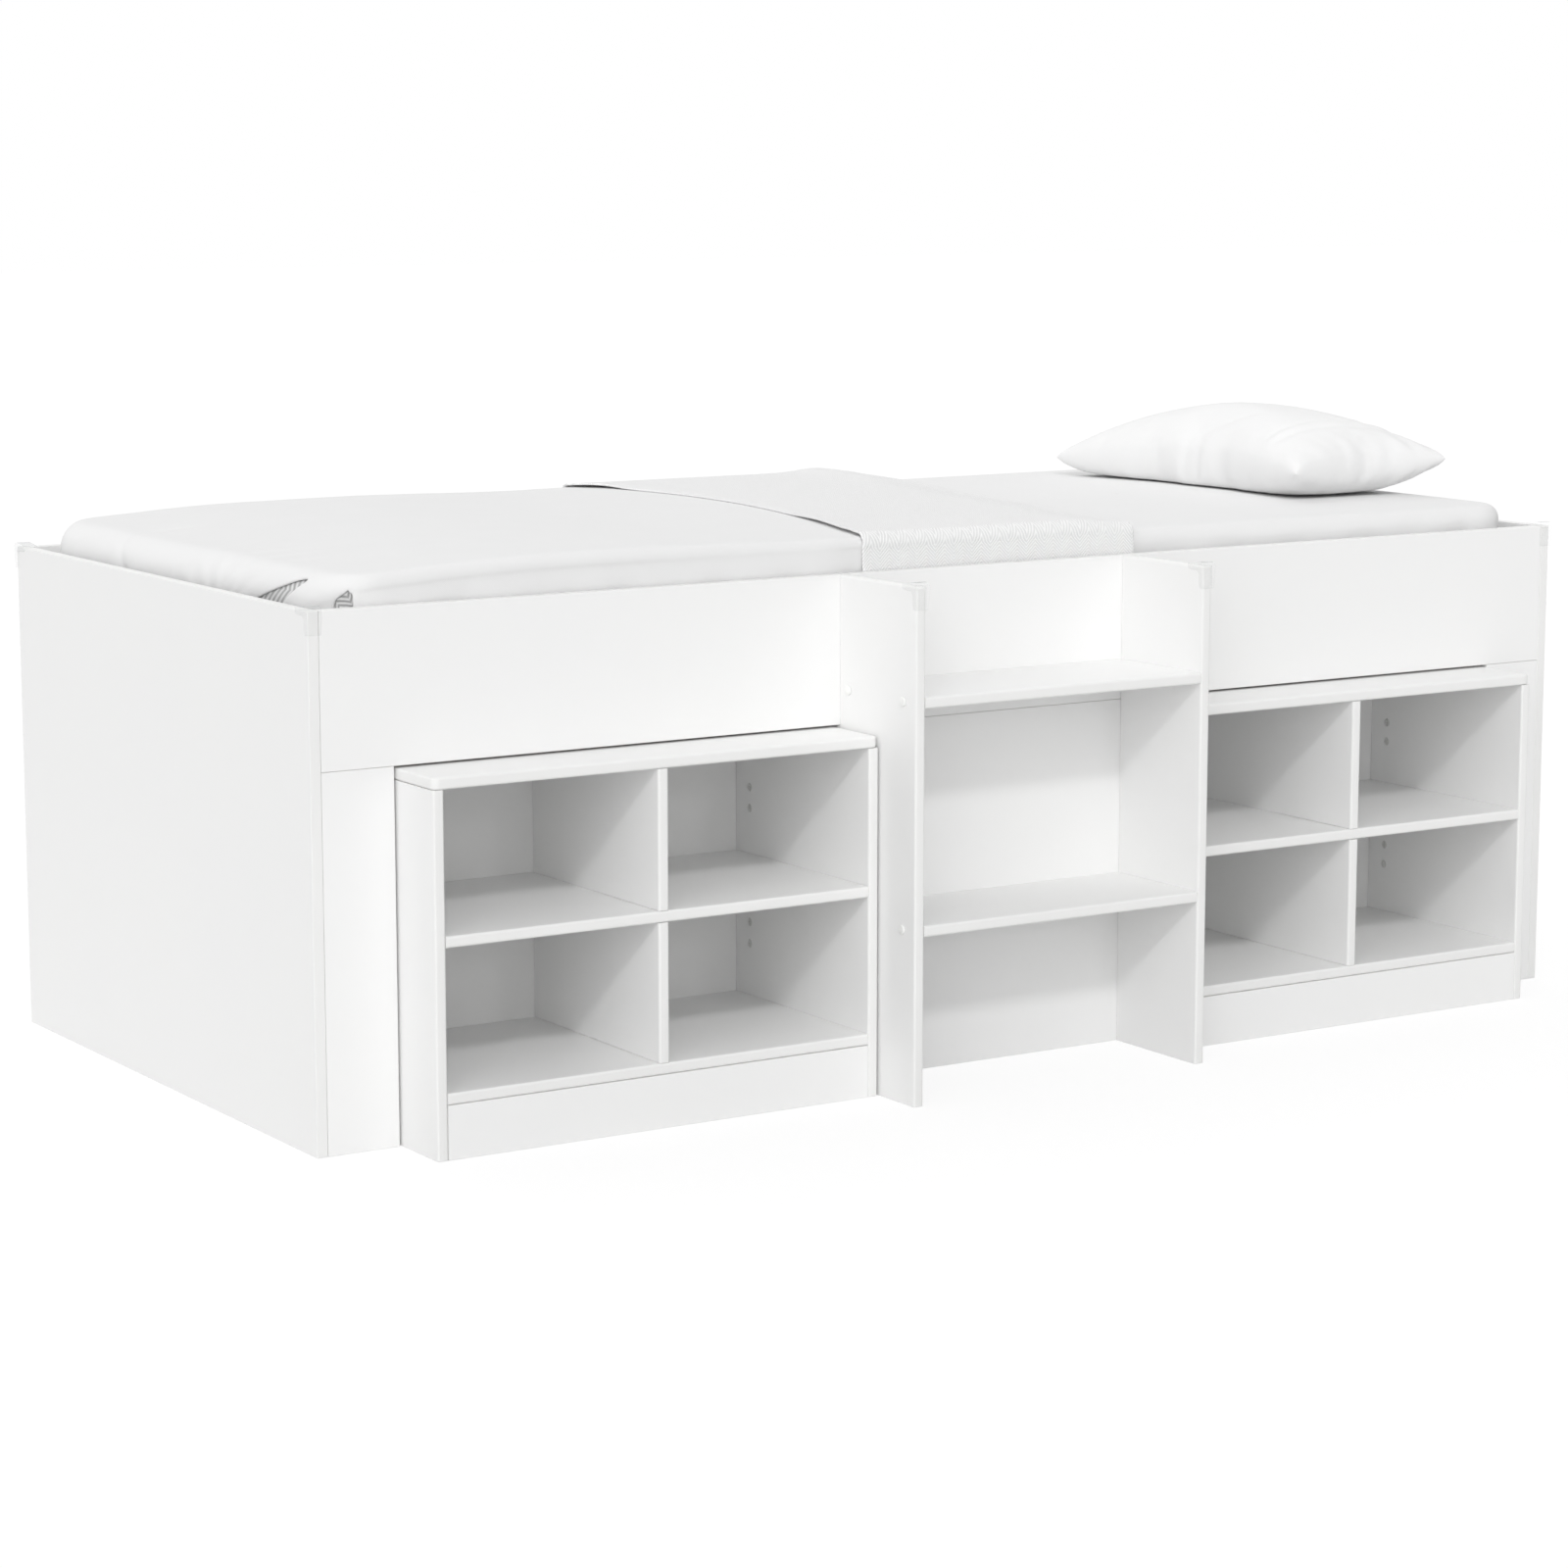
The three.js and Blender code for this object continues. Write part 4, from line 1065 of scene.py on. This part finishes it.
def add_plain_layer(bedding):
    """The blanket's plain side: puffy and soft over the foot, pleated at the near corner, and
    gathered where it hangs. It runs on under the turned-back layer to the fold at the head."""

    def shape(point, facing, below, laid, place):
        share = bedding.across(laid[1])
        edge = turned_edge(share) + hem_lean(bedding, laid[1])
        covered = fade(point.x, edge - 60 * MM, edge - 10 * MM)
        bare = 1 - covered
        loft = FOOT_LOFT + (PLAIN_LOFT - FOOT_LOFT) * fade(point.x - bedding.foot, 400 * MM, 720 * MM)
        loft = PLAIN_SIDE + (loft - PLAIN_SIDE) * fade(head_fold(share) - point.x, 0, FOLD_REACH)
        side = PLAIN_STANDS + (PLAIN_SIDE - PLAIN_STANDS) * covered
        off = side + (loft - side) * facing.z
        hang = fade(below, 3 * MM, 45 * MM)
        folds = 0.5 + 0.5 * math.sin(2 * math.pi * (laid[0] - 0.25 * below) / FOLD_WIDTH + 0.8)
        mottle = ripple("plain_hanging", *laid) + ripple("plain_hanging_fine", *laid)
        off += bare * hang * (1.2 * MM * folds * abs(facing.y) + mottle)
        off += bare * ripple("plain_top", *laid) * facing.z
        off += bare * ripple("plain_fine", laid[0] * 0.6, laid[1])
        off += bare * foot_creases(bedding, point, laid)
        height = point.z + facing.z * off
        return off + pleat_curl(place, lambda tip: max(bedding.top + tip - height, 0.0))

    cloth = Cloth(bedding, shape)
    alongs = [(share, 0.0) for share in np.linspace(0, 1, 121)]
    spots, top = cloth.lay_top(alongs, lambda share: bedding.left, head_fold)
    rear = cloth.side(spots, top, alongs, -1, (0.0, 1.0))[::-1]
    for k in range(1, CORNER_STEPS + 1):
        angle = math.pi / 2 * (1 + k / CORNER_STEPS)
        way = (math.cos(angle), math.sin(angle)) if k < CORNER_STEPS else (-1.0, 0.0)
        rear.append([top[0][-1]] + [cloth.put(spots[0][-1], way, row) for row in ROWS])
    cloth.join_run(rear)
    lay_near_rim(cloth, spots, top)
    made = piece("plain_side_up", cloth.points, cloth.faces, [PLAIN], cloth.flat)
    rework(made, lambda mesh: bmesh.ops.remove_doubles(mesh, verts=mesh.verts, dist=0.01 * MM))
    thicken(made, CLOTH)
    settle(made, "bed", "plain_cotton", "plain_blanket")
    return made


def foot_creases(bedding, point, laid):
    """Soft dents in the plain side over the foot: drag folds beside the near pleats, one crease at
    the wall side and one that runs from the pleats' tip over the top."""
    from_front, from_foot = laid[1] - bedding.front, point.x - bedding.foot
    depth = bedding.top + 10 * MM - point.z
    low = fade(depth, 0, 24 * MM) * (1 - fade(from_foot, 60 * MM, 160 * MM))
    drag = math.sin(2 * math.pi * (from_front + 1.6 * depth) / (55 * MM))
    drag *= bump_at(from_front, 200 * MM, 120 * MM)
    crease = bump_at(from_front + 1.33 * depth, 600 * MM, 8 * MM)
    over = bump_at(from_front, 0.1 * from_foot, 7 * MM)
    over *= fade(from_foot, 0, 20 * MM) * (1 - fade(from_foot, 30 * MM, 70 * MM))
    return low * (1.3 * MM * drag - 3 * MM * crease) - 1.2 * MM * over


def add_corner_pleat(bedding):
    """The cloth inside the pleats, which shows its herringbone side."""

    def shape(point, facing, below, laid, place):
        return INNER_OFF + INNER_LOFT * facing.z

    cloth = Cloth(bedding, shape)
    rows = [row for row in ROWS if row >= 0.75]
    columns = []
    for place in np.arange(-300 * MM, bedding.arc + 50 * MM, 7 * MM):
        base, way = bedding.near_rim(place)
        columns.append([cloth.put(base, way, row) for row in rows])
    cloth.join_run(columns)
    # both materials of the cloth inside the pleats carry painted shade
    made = piece("corner_pleat", cloth.points, cloth.faces, [PAINTED_SHADE_DRAWN_OUT, PAINTED_SHADE_PRESSED], cloth.flat)
    for face in made.data.polygons:
        face.material_index = int(face.center.y < bedding.front - INNER_SHADE)
    thicken(made, 2 * MM)
    settle(made, "bed", "herringbone_cotton")
    return made


def add_turned_layer(bedding):
    """The blanket's head end, turned back: herringbone side up, with a free hem that lifts off the
    plain side near the wall and at the front, and a round fold at the head."""

    def shape(point, facing, below, laid, place):
        share = bedding.across(laid[1])
        from_hem = max(point.x - turned_edge(share) - hem_lean(bedding, laid[1]), 0.0)
        from_fold = head_fold(share) - point.x
        hang = fade(below, 3 * MM, 50 * MM)
        wall_lift = 4.6 * MM * bump_at(laid[1], bedding.rear + 35 * MM, 45 * MM)
        front_lift = 4 * MM * (1 - fade(laid[1], bedding.front + 100 * MM, bedding.front + 270 * MM))
        lift = (wall_lift + front_lift - 1.5 * MM) * facing.z + 3 * MM * hang
        loft = FOLD_LOFT + (TURNED_LOFT - FOLD_LOFT) * fade(from_fold, 0, FOLD_REACH)
        loft += 7 * MM * fade(share, 0.75, 1) * bump_at(from_fold, 60 * MM, 50 * MM)
        off = TURNED_SIDE + (loft - TURNED_SIDE) * facing.z + lift * math.exp(-from_hem / HEM_REACH)
        off += hang * (0.5 * MM + ripple("turned_hanging", laid[0], laid[1] * 0.3))
        off += ripple("turned_top", *laid) * fade(from_hem, 0, 50 * MM)
        return off

    cloth = Cloth(bedding, shape)
    alongs = [(share, 0.0) for share in sorted([HEM_STEP, *np.linspace(0, 1, 51)])]
    alongs += [(1.0, math.pi * k / 8) for k in range(1, 9)]
    spots, top = cloth.lay_top(alongs, turned_edge, head_fold)
    cloth.join_run(cloth.side(spots, top, alongs, -1, (0.0, 1.0), leans=True)[::-1])
    cloth.join_run(cloth.side(spots, top, alongs, 0, (0.0, -1.0), leans=True))
    made = piece("herringbone_side_up", cloth.points, cloth.faces, [HERRINGBONE], cloth.flat)
    thicken(made, CLOTH)
    settle(made, "bed", "herringbone_cotton", "herringbone_blanket")
    return made


def sewn_cover():
    """The pillow's two panels, joined all round and a little apart, as points and faces."""
    nx, ny = PILLOW_STEPS
    width, length = PILLOW_CUT
    points, faces, index = [], [], {}
    for side in (1, -1):
        for i in range(nx + 1):
            for j in range(ny + 1):
                border = i in (0, nx) or j in (0, ny)
                if side < 0 and border:
                    index[side, i, j] = index[1, i, j]
                    continue
                u, v = 2 * i / nx - 1, 2 * j / ny - 1
                rise = 0.0 if border else side * PILLOW_START * ((1 - u * u) * (1 - v * v)) ** 0.5
                index[side, i, j] = len(points)
                points.append(Vector((u * width / 2, v * length / 2, rise)))
    for side in (1, -1):
        for i in range(nx):
            for j in range(ny):
                quad = [index[side, i + di, j + dj] for di, dj in ((0, 0), (1, 0), (1, 1), (0, 1))]
                faces.append(quad[::side])
    return points, faces


def add_pillow():
    """The pillow: two cotton panels sewn round and filled. A part of its creasing comes from a
    cover that is blown up as cloth, and the rest is modelled. Then it is set down on the mattress."""
    points, faces = sewn_cover()
    made = piece("filled_pillow", points, faces, [PILLOW], [(p.x, p.y) for p in points])
    blown = np.array([swell(p) for p in points])
    blown += PILLOW_CREASING * (to_size(blow_up(made), blown) - blown)
    blown[:, 2] += [creases(p) for p in points]
    blown = set_down(blown, *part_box("pillow"))
    made.data.vertices.foreach_set("co", blown.astype(np.float32).ravel())
    made.data.update()
    calm = made.modifiers.new("calm", "SMOOTH")
    calm.factor, calm.iterations = 0.5, 4
    refine(made)
    settle(made, "bed", "pillow_cotton", "pillow")


def swell(point):
    """Where a point of the flat cover lies once it is well filled: its sides are drawn in and its
    corners point."""
    width, length = PILLOW_CUT
    u, v = 2 * point.x / width, 2 * point.y / length
    full = max((1 - u * u) * (1 - v * v), 0.0) ** PILLOW_FULLNESS
    rise = math.copysign(PILLOW_RISE * full, point.z) if point.z else 0.0
    return (point.x - PILLOW_DRAWN * u * (1 - v * v), point.y - PILLOW_DRAWN * v * (1 - u * u), rise)


def creases(point):
    """Two soft folds across the case near its front end, and puckers along its seams."""
    if not point.z:
        return 0.0
    width, length = PILLOW_CUT
    from_end, from_side = point.y + length / 2, width / 2 - abs(point.x)
    lean = from_end + 0.12 * point.x
    folds = bump_at(lean, 92 * MM, 7 * MM) - 0.6 * bump_at(lean, 104 * MM, 8 * MM)
    folds = (folds + 0.7 * bump_at(lean, 122 * MM, 6 * MM)) * fade(from_side, 20 * MM, 60 * MM)
    ends = ripple("pillow_ends", point.x + 0.4 * point.y, 0.0) * math.exp(-from_end / (60 * MM))
    sides = ripple("pillow_sides", 0.3 * point.x, point.y) * math.exp(-from_side / (30 * MM))
    room = fade(min(from_end, from_side), 0, 12 * MM)
    return -math.copysign(1, point.z) * room * (3.2 * MM * folds + ends + sides)


def to_size(points, model):
    """Points stretched to the same box as a model's."""
    low, high = points.min(0), points.max(0)
    return (points - low) / (high - low) * (model.max(0) - model.min(0)) + model.min(0)


def blow_up(made):
    """Fills the sewn cover with Blender's cloth, and gives its points."""
    scene = bpy.context.scene
    cloth = made.modifiers.new("cloth", "CLOTH")
    for name, value in PILLOW_CLOTH.items():
        setattr(cloth.settings, name, value)
    cloth.settings.effector_weights.gravity = 0.0
    cloth.collision_settings.use_collision = False
    frames = 35  # by then the cover is full
    cloth.point_cache.frame_start, cloth.point_cache.frame_end = 1, frames + 5
    for number in range(1, frames + 1):
        scene.frame_set(number)
    graph = bpy.context.evaluated_depsgraph_get()
    mesh = made.evaluated_get(graph).to_mesh()
    co = np.zeros(len(mesh.vertices) * 3, np.float32)
    mesh.vertices.foreach_get("co", co)
    made.modifiers.remove(cloth)
    scene.frame_set(1)
    return co.reshape(-1, 3).astype(float)


def set_down(points, low, high):
    """Scales the pillow to its node's room, tilts its head side up and flattens its underside."""
    span = points.max(0) - points.min(0)
    room = np.array(high - low)
    thick = (room[2] - PILLOW_SEAM - sum(PILLOW_TILTS) / 2) * 2
    scale = np.array((room[0] / span[0], room[1] / span[1], thick / span[2]))
    points = (points - (points.max(0) + points.min(0)) / 2) * scale
    headward, frontward = points[:, 0] / room[0] + 0.5, 0.5 - points[:, 1] / room[1]
    rise = PILLOW_SEAM + PILLOW_TILTS[0] * headward + PILLOW_TILTS[1] * frontward + points[:, 2]
    rise = PILLOW_SOFTNESS * np.log1p(np.exp(np.clip(rise / PILLOW_SOFTNESS, -30, 30)))
    lowest = low.z + 0.2 * MM
    heights = lowest + rise * (high.z - lowest) / rise.max()
    return np.column_stack((points[:, :2] + np.array((low + high) / 2)[:2], heights))


def add_bedding():
    bedding = Bedding()
    add_mattress()
    plain = add_plain_layer(bedding)
    pleat = add_corner_pleat(bedding)
    turned = add_turned_layer(bedding)
    add_pillow()
    fold, edge = sum(HEAD_FOLD) / 2, sum(turned_edge(i / 20) for i in range(21)) / 21


# Stage, light and camera

def seen_directly(tree):
    """1 where a thing is looked at, also in a highlight or through clear plastic, and 0 where its
    light is gathered."""
    path = add(tree, "LightPath").outputs
    through = add(tree, "Math", {0: path["Is Glossy Ray"], 1: path["Is Transmission Ray"]},
                  operation="MAXIMUM")
    return add(tree, "Math", {0: path["Is Camera Ray"], 1: through}, operation="MAXIMUM")


def add_floor():
    """A plain white floor. Seen directly it is white with the bed's soft shadow; to the bed it is
    a pale floor that gives light back."""
    half = 30.0
    material = bpy.data.materials.new("studio_floor")
    material.use_nodes = True
    tree = material.node_tree
    tree.nodes.clear()
    lit = add(tree, "BsdfDiffuse", {"Color": (0.2, 0.2, 0.2, 1)})
    white = add(tree, "Emission", {"Color": (1, 1, 1, 1), "Strength": 0.82})
    shown = add(tree, "AddShader", {0: lit, 1: white})
    pale = add(tree, "BsdfDiffuse", {"Color": (0.72, 0.72, 0.72, 1)})
    either = add(tree, "MixShader", {0: seen_directly(tree), 1: pale, 2: shown})
    add(tree, "OutputMaterial", {"Surface": either})
    points = [(x, y, 0) for x, y in rectangle(-half, -half, half, half)]
    piece("studio_floor", points, [(0, 1, 2, 3)], [material])


# Soft white panels in the sky, as the way to each, how tightly it is gathered and its level
PANELS = (((-0.67, -0.67, 0.34), 8.0, 2.1), ((0.0, 0.7, 0.7), 4.0, 1.1), ((0.0, 0.1, 1.0), 4.0, 0.3))
SKY_LEVEL = 0.36


def add_world():
    """Soft white light from all round, with wide soft panels at the left and over the bed, and a
    white background."""
    world = bpy.data.worlds.new("studio")
    bpy.context.scene.world = world
    world.use_nodes = True
    tree = world.node_tree
    tree.nodes.clear()
    way = add(tree, "TexCoord").outputs["Generated"]
    level = SKY_LEVEL
    for centre, gathered, brightness in PANELS:
        centre = Vector(centre).normalized()
        near = add(tree, "VectorMath", {0: way, 1: centre}, operation="DOT_PRODUCT").outputs["Value"]
        ahead = add(tree, "Math", {0: near, 1: 0.0}, operation="MAXIMUM")
        spread = add(tree, "Math", {0: ahead, 1: gathered}, operation="POWER")
        level = add(tree, "Math", {0: spread, 1: brightness, 2: level}, operation="MULTIPLY_ADD")
    soft = add(tree, "Background", {"Color": (1, 1, 1, 1), "Strength": level})
    white = add(tree, "Background", {"Color": (1, 1, 1, 1), "Strength": 1.0})
    either = add(tree, "MixShader", {0: seen_directly(tree), 1: soft, 2: white})
    add(tree, "OutputWorld", {"Surface": either})


def add_lamp(name, way, level, softness):
    """A far soft lamp that shines along `way`; at level 1 alone, white facing it renders white."""
    lamp = bpy.data.lights.new(name, "SUN")
    lamp.energy = level * math.pi
    lamp.angle = math.radians(softness)
    holder = bpy.data.objects.new(name, lamp)
    holder.rotation_mode = "QUATERNION"
    holder.rotation_quaternion = Vector(way).to_track_quat("-Z", "Y")
    bpy.context.scene.collection.objects.link(holder)


def add_camera():
    """The photograph's camera: a long lens, left of the middle and a little above the bed."""
    data = bpy.data.cameras.new("camera")
    data.lens, data.sensor_width = 92.8, 36
    made = bpy.data.objects.new("camera", data)
    yaw, pitch = 32.48, 9.16
    made.location = (-3.148, -4.806, 1.259)
    made.rotation_euler = (math.radians(90 - pitch), 0, math.radians(-yaw))
    bpy.context.scene.collection.objects.link(made)
    bpy.context.scene.camera = made


add_camera()
add_floor()
add_world()
add_lamp("key", (0.5, 1.0, -0.85), 0.22, 5.0)
add_lamp("front_fill", (-0.17, 1.0, -0.306), 0.03, 5.0)
bpy.context.scene.view_settings.view_transform = "Standard"

add_body()
add_ladder()
add_guards()
add_bookcase("left")
add_bookcase("right")
add_bedding()
